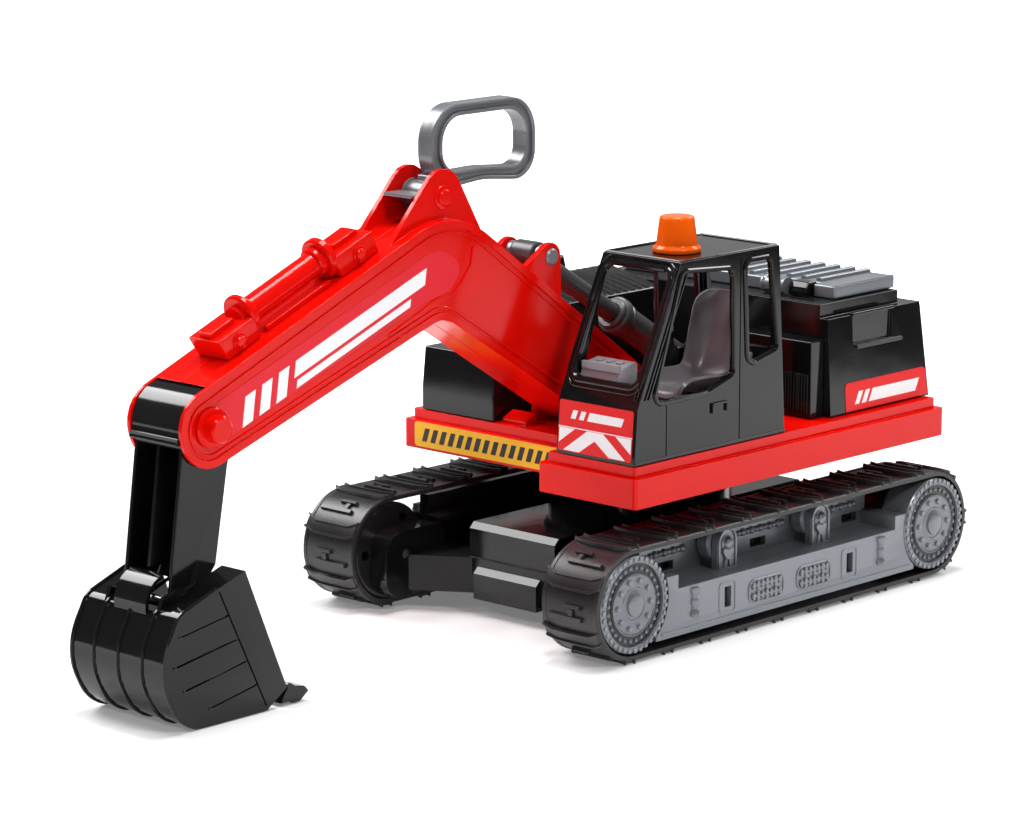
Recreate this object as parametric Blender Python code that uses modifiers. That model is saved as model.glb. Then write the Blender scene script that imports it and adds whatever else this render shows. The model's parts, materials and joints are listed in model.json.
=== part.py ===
"""Toy excavator: crawler undercarriage, slewing deck with cab and engine cover, boom, arm and bucket.

World frame: metres, +Z up, +Y to the rear, +X to the cab side, origin on the ground under the middle of
the bounding box. The sizes below are millimetres in the machine's own axes, whose x = y = 0 is the slew
axis and whose z = 0 is the ground. The helpers turn them into metres.
"""
import math

import bmesh
import bpy
from mathutils import Matrix, Vector

MM = 0.001
GAP = 0.3  # clearance between neighbouring pieces

# Tracks
WHEEL_Y = 154.2  # wheel centres, ahead of and behind the slew axis
WHEEL_Z = 38.0
WHEEL_RADIUS = 32.4
RIM_RADIUS = 31.4
BELT_INNER = 33.0
BELT_OUTER = 36.2
CLEAT_RADIUS = 38.0
CLEAT_COUNT = 23
CLEAT_LENGTH = 7.0
BELT_IN = 84.8  # the belt's inner and outer edges, from the middle plane
BELT_OUT = 131.2
WHEEL_SPLIT = 109.0  # where the black drum meets the grey rim
WHEEL_FACE = 131.6
AXLE_RADIUS = 3.0
ROLLER_Y = 48.0
ROLLER_Z = 57.3
ROLLER_RADIUS = 13.2
FRAME_BACK = 97.0  # the side frame's inner panel and outer face
FRAME_FACE = 131.0
BENCH_TOP = 40.8  # top of the side frame's outer beam

# Chassis and turntable
LEG_BOTTOM = 13.0
LEG_TOP = 37.0
CHASSIS_TOP = 60.0
CHASSIS_FRONT = 127.0
TURNTABLE_RADIUS = 66.0
TURNTABLE_LOW = 74.3
TURNTABLE_TOP = 82.0
SLEW_PIN_RADIUS = 6.0

# Deck
DECK_HALF = 122.4
DECK_FRONT = -102.7
DECK_NOSE = -143.9
DECK_NOSE_X = 38.5
DECK_REAR = 175.4
DECK_BOTTOM = 95.6
DECK_LIP = 114.8
DECK_TOP = 121.6
ON_DECK = DECK_TOP + GAP

# Cab
CAB_IN = 50.5
CAB_OUT = 117.0
CAB_WALL = 3.0
CAB_ROOF = 247.0

# Engine cover
COVER_FRONT = 66.0
COVER_REAR = 174.0
COVER_SHOULDER = 188.0
COVER_TOP = 197.0

# Boom
BOOM_PIVOT = (-50.3, 149.3)  # (y, z) of each joint axis
ARM_PIVOT = (-412.4, 175.6)
BUCKET_PIVOT = (-440.0, 72.0)
HANDLE_PIVOT = (-207.6, 290.6)
RAM_TOP_PIN = (-111.0, 241.8)
RAM_FOOT_PIN = (50.0, 143.3)
BOOM_HALF = 23.0  # side plate, without its raised border
BOOM_BORDER = 24.2
BOOM_INNER = 21.5
EAR_FACE = 16.5  # outer faces of the handle's and the ram's ears
RAM_EAR_FACE = 20.0
ARM_HALF = 20.9
TIP_RADIUS = 24.0
BUCKET_HALF = 42.0
CRANK = 18.4  # throw of the handle's and the arm's inner cranks, which both hang down

SLEW_ORIGIN = Vector((0, 138.6, 0)) * MM

parts = bpy.data.collections.new("toy_excavator")
cutters = bpy.data.collections.new("cutters")


# ---------------------------------------------------------------- helpers

def clear_scene():
    for obj in list(bpy.data.objects):
        bpy.data.objects.remove(obj, do_unlink=True)
    bpy.context.scene.collection.children.link(parts)
    bpy.context.scene.collection.children.link(cutters)
    cutters.hide_render = True


def plastic(name, colour, roughness, metallic=0.0):
    material = bpy.data.materials.new(name)
    material.use_nodes = True
    shader = material.node_tree.nodes["Principled BSDF"]
    shader.inputs["Base Color"].default_value = (*colour, 1.0)
    shader.inputs["Roughness"].default_value = roughness
    shader.inputs["Metallic"].default_value = metallic
    return material


def new_object(name, mesh):
    mesh.name = name
    mesh.shade_smooth()
    mesh.set_sharp_from_angle(angle=math.radians(35))
    obj = bpy.data.objects.new(name, mesh)
    parts.objects.link(obj)
    obj.location = SLEW_ORIGIN
    return obj


def from_bmesh(name, bm):
    mesh = bpy.data.meshes.new(name)
    bm.to_mesh(mesh)
    bm.free()
    return new_object(name, mesh)


def blocks(name, *boxes):
    """Boxes from one corner to the other; more than one box must not touch each other."""
    bm = bmesh.new()
    for low, high in boxes:
        size = [abs(b - a) * MM for a, b in zip(low, high)]
        middle = [(a + b) / 2 * MM for a, b in zip(low, high)]
        place = Matrix.Translation(middle) @ Matrix.Diagonal((*size, 1.0))
        bmesh.ops.create_cube(bm, size=1.0, matrix=place)
    return from_bmesh(name, bm)


def turn_to(axis):
    return Vector((0, 0, 1)).rotation_difference(Vector(axis)).to_matrix().to_4x4()


def rod(name, start, end, radius, end_radius=None, sides=24):
    """A cylinder or cone between two points."""
    start = Vector(start) * MM
    end = Vector(end) * MM
    place = Matrix.Translation((start + end) / 2) @ turn_to(end - start)
    bm = bmesh.new()
    bmesh.ops.create_cone(
        bm,
        cap_ends=True,
        segments=sides,
        radius1=radius * MM,
        radius2=(radius if end_radius is None else end_radius) * MM,
        depth=(end - start).length,
        matrix=place,
    )
    return from_bmesh(name, bm)


def cross_rod(name, pivot, low, high, radius, sides=24):
    """A cylinder along X at a (y, z) pivot."""
    return rod(name, (low, *pivot), (high, *pivot), radius, sides=sides)


def turned(name, profile, centre, axis, sides=20):
    """A profile of (radius, height) points turned about an axis, run down its outer side."""
    bm = bmesh.new()
    corners = [bm.verts.new((radius * MM, 0.0, height * MM)) for radius, height in profile]
    for first, second in zip(corners, corners[1:]):
        bm.edges.new((first, second))
    if profile[0][0] > 0:
        bm.edges.new((corners[-1], corners[0]))
    obj = from_bmesh(name, bm)
    obj.matrix_basis = Matrix.Translation(SLEW_ORIGIN + Vector(centre) * MM) @ turn_to(axis)
    screw = obj.modifiers.new("Turn", "SCREW")
    screw.steps = sides
    screw.render_steps = sides
    screw.use_merge_vertices = True
    screw.merge_threshold = 0.00001
    return obj


def rounded(corners, step=22.5):
    """An outline from (a, b, fillet radius) corners, with its fillets as arcs."""
    outline = []
    for index, (a, b, radius) in enumerate(corners):
        here = Vector((a, b))
        back = (Vector(corners[index - 1][:2]) - here).normalized()
        ahead = (Vector(corners[(index + 1) % len(corners)][:2]) - here).normalized()
        if radius == 0:
            outline.append(here)
            continue
        turn = math.pi - back.angle(ahead)
        way = 1 if (-back).cross(ahead) > 0 else -1
        centre = here + (back + ahead).normalized() * radius / math.cos(turn / 2)
        start = here + back * radius * math.tan(turn / 2) - centre
        pieces = max(1, round(math.degrees(turn) / step))
        for piece in range(pieces + 1):
            outline.append(centre + Matrix.Rotation(way * turn * piece / pieces, 2) @ start)
    return outline


def inset(outline, depth):
    """The same outline moved inwards by a depth."""
    points = [Vector(point) for point in outline]
    area = sum(a.cross(b) for a, b in zip(points, points[1:] + points[:1]))
    side = 1 if area > 0 else -1
    moved = []
    for index, here in enumerate(points):
        back = (here - points[index - 1]).normalized()
        ahead = (points[(index + 1) % len(points)] - here).normalized()
        normals = [Vector((-way.y, way.x)) * side for way in (back, ahead)]
        middle = (normals[0] + normals[1]).normalized()
        moved.append(here + middle * depth / max(0.3, middle.dot(normals[0])))
    return moved


def extrusion(name, outline, axis, low, high):
    """A flat outline given thickness along X (outline in y, z), Y (in x, z) or Z (in x, y)."""
    curve = bpy.data.curves.new(name, "CURVE")
    curve.dimensions = "2D"
    curve.fill_mode = "BOTH"
    curve.extrude = abs(high - low) / 2 * MM
    spline = curve.splines.new("POLY")
    spline.points.add(len(outline) - 1)
    for point, (a, b) in zip(spline.points, outline):
        point.co = (a * MM, b * MM, 0.0, 1.0)
    spline.use_cyclic_u = True
    guide = bpy.data.objects.new(name, curve)
    parts.objects.link(guide)
    solid = bpy.data.meshes.new_from_object(guide.evaluated_get(bpy.context.evaluated_depsgraph_get()))
    bpy.data.objects.remove(guide)
    across, up, along = {
        "X": ((0, 1, 0), (0, 0, 1), (1, 0, 0)),
        "Y": ((1, 0, 0), (0, 0, 1), (0, -1, 0)),
        "Z": ((1, 0, 0), (0, 1, 0), (0, 0, 1)),
    }[axis]
    middle = Vector(abs(value) for value in along) * (low + high) / 2 * MM
    place = Matrix.Translation(middle) @ Matrix((across, up, along)).transposed().to_4x4()
    bm = bmesh.new()
    bm.from_mesh(solid)
    bmesh.ops.remove_doubles(bm, verts=bm.verts, dist=0.000001)
    bm.transform(place)
    bmesh.ops.recalc_face_normals(bm, faces=bm.faces)
    if bm.calc_volume(signed=True) < 0:
        bmesh.ops.reverse_faces(bm, faces=bm.faces)
    bpy.data.meshes.remove(solid)
    return from_bmesh(name, bm)


def combine(target, operation, tools):
    for tool in tools:
        modifier = target.modifiers.new(operation.title(), "BOOLEAN")
        modifier.operation = operation
        modifier.solver = "EXACT"
        modifier.use_self = True
        modifier.object = tool
        tool.name = f"{target.name}_tool"
        tool.parent = target
        tool.matrix_parent_inverse = target.matrix_basis.inverted()
        tool.hide_render = True
        tool.display_type = "WIRE"
        parts.objects.unlink(tool)
        cutters.objects.link(tool)
    return target


def cut(target, *tools):
    return combine(target, "DIFFERENCE", tools)


def join(target, *tools):
    return combine(target, "UNION", tools)


def mirrored(name, obj):
    """The finished shape of a piece, mirrored across the machine's middle plane."""
    mesh = bpy.data.meshes.new_from_object(obj.evaluated_get(bpy.context.evaluated_depsgraph_get()))
    bm = bmesh.new()
    bm.from_mesh(mesh)
    bpy.data.meshes.remove(mesh)
    bm.transform(Matrix.Diagonal((-1, 1, 1, 1)))
    bmesh.ops.reverse_faces(bm, faces=bm.faces)
    return from_bmesh(name, bm)


def joint(name, parent, pivot):
    """An empty on a joint's axis; pivot is (y, z)."""
    empty = bpy.data.objects.new(name, None)
    empty.empty_display_size = 20 * MM
    parts.objects.link(empty)
    place = SLEW_ORIGIN + Vector((0, *pivot)) * MM
    empty["place"] = place
    empty.location = place
    if parent:
        empty.parent = parent
        empty.location = place - Vector(parent["place"])
    return empty


def attach(obj, empty, material):
    """Gives a finished piece its material and hangs it on the joint that carries it."""
    obj.data.materials.append(material)
    if empty:
        obj.parent = empty
        obj.location -= Vector(empty["place"])
    return obj


def both_ways(corners):
    """A right-hand outline completed by its mirror image across x = 0."""
    return corners + [(-a, *rest) for a, *rest in reversed(corners)]


# ---------------------------------------------------------------- tracks

def stadium(radius, step=15):
    """A belt's side outline in (y, z)."""
    outline = []
    for centre, start in ((WHEEL_Y, -90), (-WHEEL_Y, 90)):
        for piece in range(180 // step + 1):
            angle = math.radians(start + piece * step)
            outline.append((centre + radius * math.cos(angle), WHEEL_Z + radius * math.sin(angle)))
    return outline


def belt_stations(count):
    """Evenly spaced (y, z, slope) along the belt's outer surface."""
    straight = 2 * WHEEL_Y
    bend = math.pi * BELT_OUTER
    stations = []
    for index in range(count):
        travel = index * (2 * straight + 2 * bend) / count
        lap, travel = divmod(travel, straight + bend)
        if travel < straight:
            place = Vector((travel - WHEEL_Y, -BELT_OUTER))
            slope = 0.0
        else:
            slope = (travel - straight) / BELT_OUTER
            place = Vector((WHEEL_Y + BELT_OUTER * math.sin(slope), -BELT_OUTER * math.cos(slope)))
        if lap:
            place = -place
            slope += math.pi
        stations.append((place.x, WHEEL_Z + place.y, slope))
    return stations


def belt(name, side):
    rubber = extrusion(name, stadium(BELT_OUTER), "X", side * BELT_IN, side * BELT_OUT)
    cleats = bmesh.new()
    root = 1.2
    tall = CLEAT_RADIUS - BELT_OUTER + root
    for y, z, slope in belt_stations(CLEAT_COUNT):
        size = (BELT_OUT - BELT_IN, CLEAT_LENGTH, tall)
        place = (
            Matrix.Translation(Vector((side * (BELT_IN + BELT_OUT) / 2, y, z)) * MM)
            @ Matrix.Rotation(slope, 4, "X")
            @ Matrix.Translation((0, 0, (root - tall / 2) * MM))
            @ Matrix.Diagonal((*(value * MM for value in size), 1.0))
        )
        bmesh.ops.create_cube(cleats, size=1.0, matrix=place)
    join(rubber, from_bmesh(f"{name}_cleats", cleats))
    return cut(rubber, extrusion(f"{name}_inside", stadium(BELT_INNER), "X", side * 80, side * 140))


def wheel_rim(name, side, y):
    face = WHEEL_FACE
    bore = AXLE_RADIUS + GAP
    profile = [
        (0, face + 0.4), (7.0, face + 0.4), (7.0, face - 1.4), (24.0, face - 1.4), (24.5, face),
        (29.8, face), (RIM_RADIUS, face - 1.5),
        (RIM_RADIUS, WHEEL_SPLIT + GAP), (bore, WHEEL_SPLIT + GAP), (bore, 127.0), (0, 127.0),
    ]
    return turned(name, profile, (0, y, WHEEL_Z), (side, 0, 0))


def wheel_drum(name, side, y):
    bore = AXLE_RADIUS + GAP
    profile = [
        (WHEEL_RADIUS, WHEEL_SPLIT), (WHEEL_RADIUS, BELT_IN), (bore, BELT_IN), (bore, WHEEL_SPLIT),
    ]
    return turned(name, profile, (0, y, WHEEL_Z), (side, 0, 0))


def roller(name, side, y):
    bore = AXLE_RADIUS + GAP
    profile = [
        (11.5, 111.9), (ROLLER_RADIUS, 110.4), (ROLLER_RADIUS, 103.1), (11.5, 101.6),
        (bore, 101.6), (bore, 111.9),
    ]
    return turned(name, profile, (0, y, ROLLER_Z), (side, 0, 0))


def side_frame(name, side):
    beam = blocks(name, ((side * 101, -133, 10), (side * FRAME_FACE, 133, BENCH_TOP)))
    join(beam, blocks("panel", ((side * FRAME_BACK, -116, 10), (side * 101.3, 116, 61))))
    for end in (-1, 1):
        join(beam, blocks("end_block", ((side * 101, end * 112, 20), (side * FRAME_FACE, end * 133, 50))))
        bracket = rounded([
            (end * ROLLER_Y - 9.5, 30, 0), (end * ROLLER_Y - 9.5, 68, 9.3),
            (end * ROLLER_Y + 9.5, 68, 9.3), (end * ROLLER_Y + 9.5, 30, 0),
        ])
        join(beam, extrusion("bracket", bracket, "X", side * 112.4, side * 117))
        join(beam, cross_rod("stub", (end * ROLLER_Y, ROLLER_Z), side * 99, side * 119, AXLE_RADIUS, 16))
    for end in (-1, 1):
        slot = (side * 127, end * 63 - 3.3, 20), (side * 135, end * 63 + 3.3, 33.5)
        cut(beam, cross_rod("wheel_room", (end * WHEEL_Y, WHEEL_Z), side * 90, side * 140, BELT_INNER, 36))
        cut(beam, blocks("slot", slot))
    for centre in (-91, 2.5, 99):
        cut(beam, blocks("window", ((side * 95, centre - 8, 44), (side * 103, centre + 8, 50))))
    return beam


# ---------------------------------------------------------------- chassis and turntable

def chassis():
    corner = [
        (34, -129), (70, -152), (84.3, -152), (84.3, -110), (60, -72),
        (60, 72), (84.3, 110), (84.3, 152), (70, 152), (34, 129),
    ]
    plan = both_ways(corner)
    body = extrusion("chassis", plan, "Z", LEG_BOTTOM, LEG_TOP)
    front = CHASSIS_FRONT
    top = CHASSIS_TOP
    tower = [
        (-front, 13), (-front, top - 4), (-front + 4, top), (front - 4, top), (front, top - 4), (front, 13),
    ]
    join(body, extrusion("tower", tower, "X", -38, 38))
    join(body, rod("drum", (0, 0, top - 2), (0, 0, TURNTABLE_LOW - GAP), 62, sides=32))
    for end in (-1, 1):
        step = [(end * 120, 11), (end * 134, 11), (end * 134, 28), (end * 130, 32), (end * 120, 32)]
        join(body, extrusion("step", step, "X", -28, 28))
    for side in (-1, 1):
        join(body, blocks("side_bar", ((side * 76, -119, 14), (side * (FRAME_BACK - GAP), 119, 56))))
        join(body, blocks("screen", ((side * 88, -114, 50), (side * (FRAME_BACK - GAP), 114, 68.5))))
        for end in (-1, 1):
            shield = rounded([
                (end * 118, 9, 6), (end * 173, 9, 14), (end * 173, 54, 14), (end * 118, 54, 6),
            ])
            join(body, extrusion("shield", shield, "X", side * 70, side * 84.5))
    cut(body, extrusion("under_legs", inset(plan, 3), "Z", 0, LEG_TOP - 3))
    cut(body, extrusion("under_tower", [(-124, 0), (-124, 55), (124, 55), (124, 0)], "X", -35, 35))
    cut(body, rod("under_drum", (0, 0, 50), (0, 0, TURNTABLE_LOW - 3.3), 59, sides=32))
    boss = rod("boss", (0, 0, 46), (0, 0, TURNTABLE_LOW - 1), 13, sides=24)
    join(body, boss)
    cut(body, rod("slew_bore", (0, 0, 30), (0, 0, 90), SLEW_PIN_RADIUS + GAP, sides=24))
    for side in (-1, 1):
        for end in (-1, 1):
            hub = (end * WHEEL_Y, WHEEL_Z)
            cut(body, cross_rod("axle_bore", hub, side * 69, side * 90, AXLE_RADIUS + GAP, 16))
    return body


def turntable():
    bore = SLEW_PIN_RADIUS + GAP
    edge = TURNTABLE_RADIUS
    profile = [
        (edge - 2, TURNTABLE_TOP), (edge, TURNTABLE_TOP - 2), (edge, TURNTABLE_LOW + 2),
        (edge - 2, TURNTABLE_LOW), (bore, TURNTABLE_LOW), (bore, TURNTABLE_TOP),
    ]
    return turned("turntable", profile, (0, 0, 0), (0, 0, 1), sides=32)


def slew_pin():
    profile = [
        (0, 118), (SLEW_PIN_RADIUS - 1, 118), (SLEW_PIN_RADIUS, 117), (SLEW_PIN_RADIUS, 45.7),
        (13, 45.7), (13, 42), (0, 42),
    ]
    return turned("slew_pin", profile, (0, 0, 0), (0, 0, 1))


# ---------------------------------------------------------------- deck and what stands on it

def deck():
    plan = [
        (DECK_NOSE_X, DECK_NOSE), (DECK_HALF, DECK_NOSE), (DECK_HALF, DECK_REAR),
        (-DECK_HALF, DECK_REAR), (-DECK_HALF, DECK_FRONT), (DECK_NOSE_X, DECK_FRONT),
    ]
    lip = rounded([(*corner, 0 if corner == plan[-1] else 3) for corner in plan], 45)
    upper = rounded([(*corner, 2) for corner in inset(plan, 4.5)], 45)
    body = extrusion("deck", lip, "Z", DECK_BOTTOM, DECK_LIP)
    join(body, extrusion("upper", upper, "Z", DECK_LIP - 4, DECK_TOP))
    cut(body, extrusion("underside", inset(plan, 8), "Z", DECK_BOTTOM - 5, DECK_TOP - 3.2))
    hub = rod("hub", (0, 0, TURNTABLE_TOP + GAP), (0, 0, DECK_TOP - 1), 58, sides=32)
    cut(hub, rod("hub_hollow", (0, 0, 70), (0, 0, DECK_TOP - 4.4), 54, sides=32))
    join(hub, rod("hub_boss", (0, 0, TURNTABLE_TOP + GAP), (0, 0, DECK_TOP - 2), 14))
    join(body, hub)
    step = [(-92, DECK_TOP - 1), (-92, 124.5), (-82, 129), (-82, DECK_TOP - 1)]
    join(body, extrusion("step", step, "X", -41, -20))
    return cut(body, rod("bore", (0, 0, 70), (0, 0, 140), SLEW_PIN_RADIUS + GAP, sides=20))


def cab():
    profile = [(-139.5, ON_DECK), (-137, 157.8), (-95, CAB_ROOF), (2, CAB_ROOF), (9.4, ON_DECK)]
    shell = extrusion("cab_shell", profile, "X", CAB_IN, CAB_OUT)
    inner = inset(profile, CAB_WALL)
    inner[0].y = 100
    inner[-1].y = 100
    cut(shell, extrusion("inside", inner, "X", CAB_IN + CAB_WALL, CAB_OUT - CAB_WALL))
    door = rounded([
        (-120, 160.6, 5), (-93.5, 239.5, 5), (-45, 236, 5), (-43.9, 168.2, 5), (-68.6, 161, 8),
    ], 30)
    quarter = rounded([(-31, 239, 4), (-7.4, 239, 4), (0.2, 179, 4), (-27.8, 173, 6)], 30)
    cut(shell, extrusion("door_window", door, "X", CAB_IN - 5, CAB_OUT + 5))
    cut(shell, extrusion("quarter_window", quarter, "X", CAB_IN - 5, CAB_OUT + 5))
    screen = rounded([(57, 172, 5), (110, 172, 5), (110, 240, 5), (57, 240, 5)], 30)
    cut(shell, extrusion("screen", screen, "Y", -150, -85))
    rear = rounded([(57, 178, 5), (110, 178, 5), (110, 238, 5), (57, 238, 5)], 30)
    return cut(shell, extrusion("rear_window", rear, "Y", -4, 15))


def seat():
    side = rounded([
        (-60, ON_DECK, 0), (-60, 148, 3), (-80, 151, 4), (-80, 162, 5), (-30, 160, 6),
        (-19, 205, 6), (-12, 213, 5), (-5, 211, 4), (-4, 150, 6), (-8, ON_DECK, 0),
    ], 30)
    return extrusion("seat", side, "X", 61, 109)


def dashboard():
    side = [(-133, ON_DECK), (-133, 157), (-122, 180), (-106, 182), (-106, ON_DECK)]
    return extrusion("dashboard", side, "X", 57, 92)


def beacon():
    profile = [
        (0, 270.5), (10.3, 270.5), (12.2, 268.7), (14.2, 251), (15.8, 250.5),
        (15.8, CAB_ROOF + GAP), (0, CAB_ROOF + GAP),
    ]
    return turned("beacon", profile, (86, -64, 0), (0, 0, 1), sides=28)


def engine_cover():
    front = [(110.5, ON_DECK), (107, COVER_SHOULDER)]
    body = extrusion("engine_cover", both_ways(front), "Y", COVER_FRONT, COVER_REAR)
    wedge = [
        (COVER_REAR - 9, COVER_SHOULDER + 5), (COVER_REAR, ON_DECK - 5), (COVER_REAR + 9, ON_DECK),
        (COVER_REAR + 9, 195),
    ]
    cut(body, extrusion("rear_slope", wedge, "X", -120, 120))
    join(body, blocks("top_step", ((-100, COVER_FRONT, 180), (100, 150, COVER_TOP))))
    inner = [(107, 100), (104, COVER_SHOULDER - 3)]
    hollow = extrusion("hollow", both_ways(inner), "Y", COVER_FRONT + 3, COVER_REAR - 12)
    join(hollow, blocks("step_hollow", ((-97, COVER_FRONT + 3, 150), (97, 147, COVER_TOP - 3))))
    cut(body, hollow)
    cut(body, blocks("recess", ((105.6, 92, 168), (115, 134, 187))))
    ledge = blocks("ledge", ((104, 95, 164.5), (109.6, 144, 167)))
    return join(body, ledge)


def engine_lid():
    low = COVER_TOP + GAP
    body = blocks("engine_lid", ((-95, 88, low), (95, 154, low + 8.5)))
    notch = blocks("notch", ((48, 80, low - 1), (76, 97, low + 20)))
    cut(body, notch)
    ribs = []
    for index in range(13):
        x = -84 + 13.0 * index
        start = 99 if 45 < x < 79 else 91
        ribs.append(((x - 2.5, start, low + 8), (x + 2.5, 153, low + 11)))
    return join(body, blocks("ribs", *ribs))


def latch_bracket():
    side = [(82, COVER_TOP + GAP), (82, 203), (85, 207), (93, 207), (96, 203), (96, COVER_TOP + GAP)]
    return extrusion("latch_bracket", side, "X", 60, 75)


def latch_roll():
    profile = [(6.0, 10), (6.0, 8), (5.2, 7), (5.2, -7), (6.0, -8), (6.0, -10)]
    closed = [(0, 10)] + profile + [(0, -10)]
    return turned("latch_roll", closed, (49.3, 82, COVER_TOP + GAP + 6), (1, 0, 0), sides=20)


def vent_box():
    body = blocks("vent_box", ((40, 52.5, ON_DECK), (104, COVER_FRONT - GAP, 174)))
    slots = [((x - 1, 50, 126), (x + 1, 55, 152)) for x in (58, 64, 70, 76, 82, 88, 94)]
    return cut(body, blocks("slots", *slots))


def radiator_cover():
    body = blocks("radiator_cover", ((-108, -49, ON_DECK), (-30, COVER_FRONT - GAP, 192)))
    slope = [(-80, 185), (-80, 206), (-76, 206), (-30, 196), (-30, 185)]
    join(body, extrusion("sloped_top", slope, "Y", -49, 55))
    slats = [((x - 1.5, -55, 170), (x + 1.5, -47, 189)) for x in range(-100, -32, 8)]
    cut(body, blocks("slats", *slats))
    return cut(body, blocks("hollow", ((-105, -46, 100), (-33, COVER_FRONT - 4, 182))))


def exhaust_stack():
    return rod("exhaust_stack", (-95, 20, 192 + GAP), (-95, 20, 214), 12.0, 6.5, sides=4)


def tool_box():
    side = [(-98, ON_DECK), (-98, 138), (-95, 165), (-49.3, 165), (-49.3, ON_DECK)]
    body = extrusion("tool_box", side, "X", -110, -44)
    return cut(body, blocks("hollow", ((-107, -92, 100), (-47, -52, 162))))


def boom_bracket():
    """Base plate and two cheeks that carry the boom's foot."""
    y, z = BOOM_PIVOT
    cheek = rounded([
        (-78, ON_DECK, 0), (-78, 130, 4), (y - 17, z + 15, 15), (y + 17, z + 15, 15),
        (-14, 130, 5), (-14, ON_DECK, 0),
    ], 30)
    body = extrusion("boom_bracket", cheek, "X", -28.5, 28.5)
    cut(body, blocks("boom_room", ((-24.6, -90, ON_DECK + 0.8), (24.6, 0, 200))))
    return cut(body, cross_rod("bore", BOOM_PIVOT, -40, 40, 5 + GAP, 20))


def pin(name, pivot, half, radius, head=0.0, head_length=2.5, sides=20):
    """A cross pin through both sides, with a head beyond each end when one is given."""
    tip = half + head_length / 2 if head else half
    body = cross_rod(name, pivot, -tip, tip, radius, sides)
    if head:
        join(body, cross_rod("head", pivot, half, half + head_length, head, sides))
        join(body, cross_rod("far_head", pivot, -half, -half - head_length, head, sides))
    return body


# ---------------------------------------------------------------- boom

def boom_outline():
    """The boom's side outline: tip, apex, foot, lower elbow."""
    return [
        (-443.7, 188.8, TIP_RADIUS - 0.8), (-204.3, 285.4, 60), (-18.1, 152.9, 17),
        (-39.8, 123.8, 25), (-64.9, 123.8, 8), (-214.4, 216.6, 20), (-427.5, 145.0, TIP_RADIUS - 0.8),
    ]


def boom_right():
    outline = rounded(boom_outline(), 15)
    body = extrusion("boom_right", outline, "X", GAP / 2, BOOM_BORDER)
    cut(body, extrusion("field", inset(outline, 5), "X", BOOM_HALF, BOOM_BORDER + 3))
    cut(body, extrusion("hollow", inset(outline, 2.6), "X", -1, BOOM_INNER))
    base = [point for point in inset(outline, 1.3) if -257 < point.x < -168 and point.y > 250]
    ear = rounded([(-257, 262.4, 0), (-204.5, 320, 17), (-168, 257.8, 0)], 20)
    join(body, extrusion("handle_ear", ear + base[::-1], "X", 13, EAR_FACE))
    y, z = RAM_TOP_PIN
    rear_ear = rounded([(-138, 236.6, 0), (y + 8.3, z + 16.2, 9.4), (y + 10, 209.9, 0)], 20)
    join(body, extrusion("ram_ear", rear_ear, "X", 16, RAM_EAR_FACE))
    cut(body, cross_rod("drum_room", ARM_PIVOT, -1, BOOM_INNER, 25.0, 32))
    cut(body, blocks("arm_room", ((-1, -460, 120), (BOOM_INNER, -376, 172))))
    cut(body, blocks("front_room", ((-1, -460, 160), (BOOM_INNER, -417, 215))))
    cut(body, blocks("handle_slot", ((-1, -228, 250), (8, -180, 300))))
    cut(body, cross_rod("arm_bore", ARM_PIVOT, 0, 40, 6 + GAP, 20))
    cut(body, cross_rod("foot_bore", BOOM_PIVOT, 0, 40, 5 + GAP, 20))
    cut(body, cross_rod("handle_bore", HANDLE_PIVOT, 0, 40, 3.5 + GAP, 16))
    return cut(body, cross_rod("ram_bore", RAM_TOP_PIN, 0, 40, 4 + GAP, 16))


def along_boom(travel, height):
    """(y, z) of a point measured along the boom's front top edge and square to it."""
    start = Vector(boom_outline()[0][:2])
    way = (Vector(boom_outline()[1][:2]) - start).normalized()
    return start + way * travel + Vector((-way.y, way.x)) * height


def dummy_ram():
    """The moulded jack that lies on the boom's front top face."""
    def strip(low, high, top):
        corners = ((low, GAP), (low - 3, top), (high - 1, top), (high, GAP))
        return [along_boom(travel, height) for travel, height in corners]

    body = rod("dummy_ram", (0, *along_boom(84, 12.8)), (0, *along_boom(168, 12.8)), 8.4, sides=20)
    join(body, extrusion("front_box", strip(60.5, 89, 14.5), "X", -13.2, 13.2))
    join(body, extrusion("rear_box", strip(165, 193, 14.2), "X", -13.2, 13.2))
    for low, high in ((88, 91.5), (160, 165.5)):
        join(body, rod("collar", (0, *along_boom(low, 12.8)), (0, *along_boom(high, 12.8)), 12.6, sides=24))
    below = [along_boom(30, GAP), along_boom(210, GAP), along_boom(210, -20), along_boom(30, -20)]
    return cut(body, extrusion("boom_top", below, "X", -40, 40))


def handle():
    outer = rounded([
        (-207, 292, 22), (-207, 346.3, 24), (-111, 346.3, 24), (-111, 291, 18), (-160, 296, 60),
    ], 15)
    body = extrusion("handle", outer, "X", -6.2, 6.2)
    inner = rounded([
        (-196.5, 303.2, 14), (-196.5, 338.6, 17), (-119.9, 338.6, 17), (-119.9, 301, 12),
        (-160, 304, 60),
    ], 15)
    stem = [(-214, 285), (-207.5, 320), (-196, 320), (-192, 296), (-197, 285)]
    join(body, extrusion("stem", stem, "X", -6.2, 6.2))
    cut(body, extrusion("grip", inner, "X", -10, 10))
    join(body, cross_rod("hub", HANDLE_PIVOT, -12.4, 12.4, 9, 24))
    y, z = HANDLE_PIVOT
    crank = [(y - 4, z), (y - 4, z - CRANK - 3), (y + 4, z - CRANK - 3), (y + 4, z)]
    join(body, extrusion("crank", crank, "X", 2.5, 5.5))
    join(body, blocks("tab", ((-12.4, y - 24, z + 1), (12.4, y - 6, z + 3))))
    cut(body, cross_rod("bore", HANDLE_PIVOT, -40, 40, 3.5 + GAP, 16))
    return cut(body, cross_rod("crank_bore", (y, z - CRANK), -40, 40, 1.8, 12))


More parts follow.
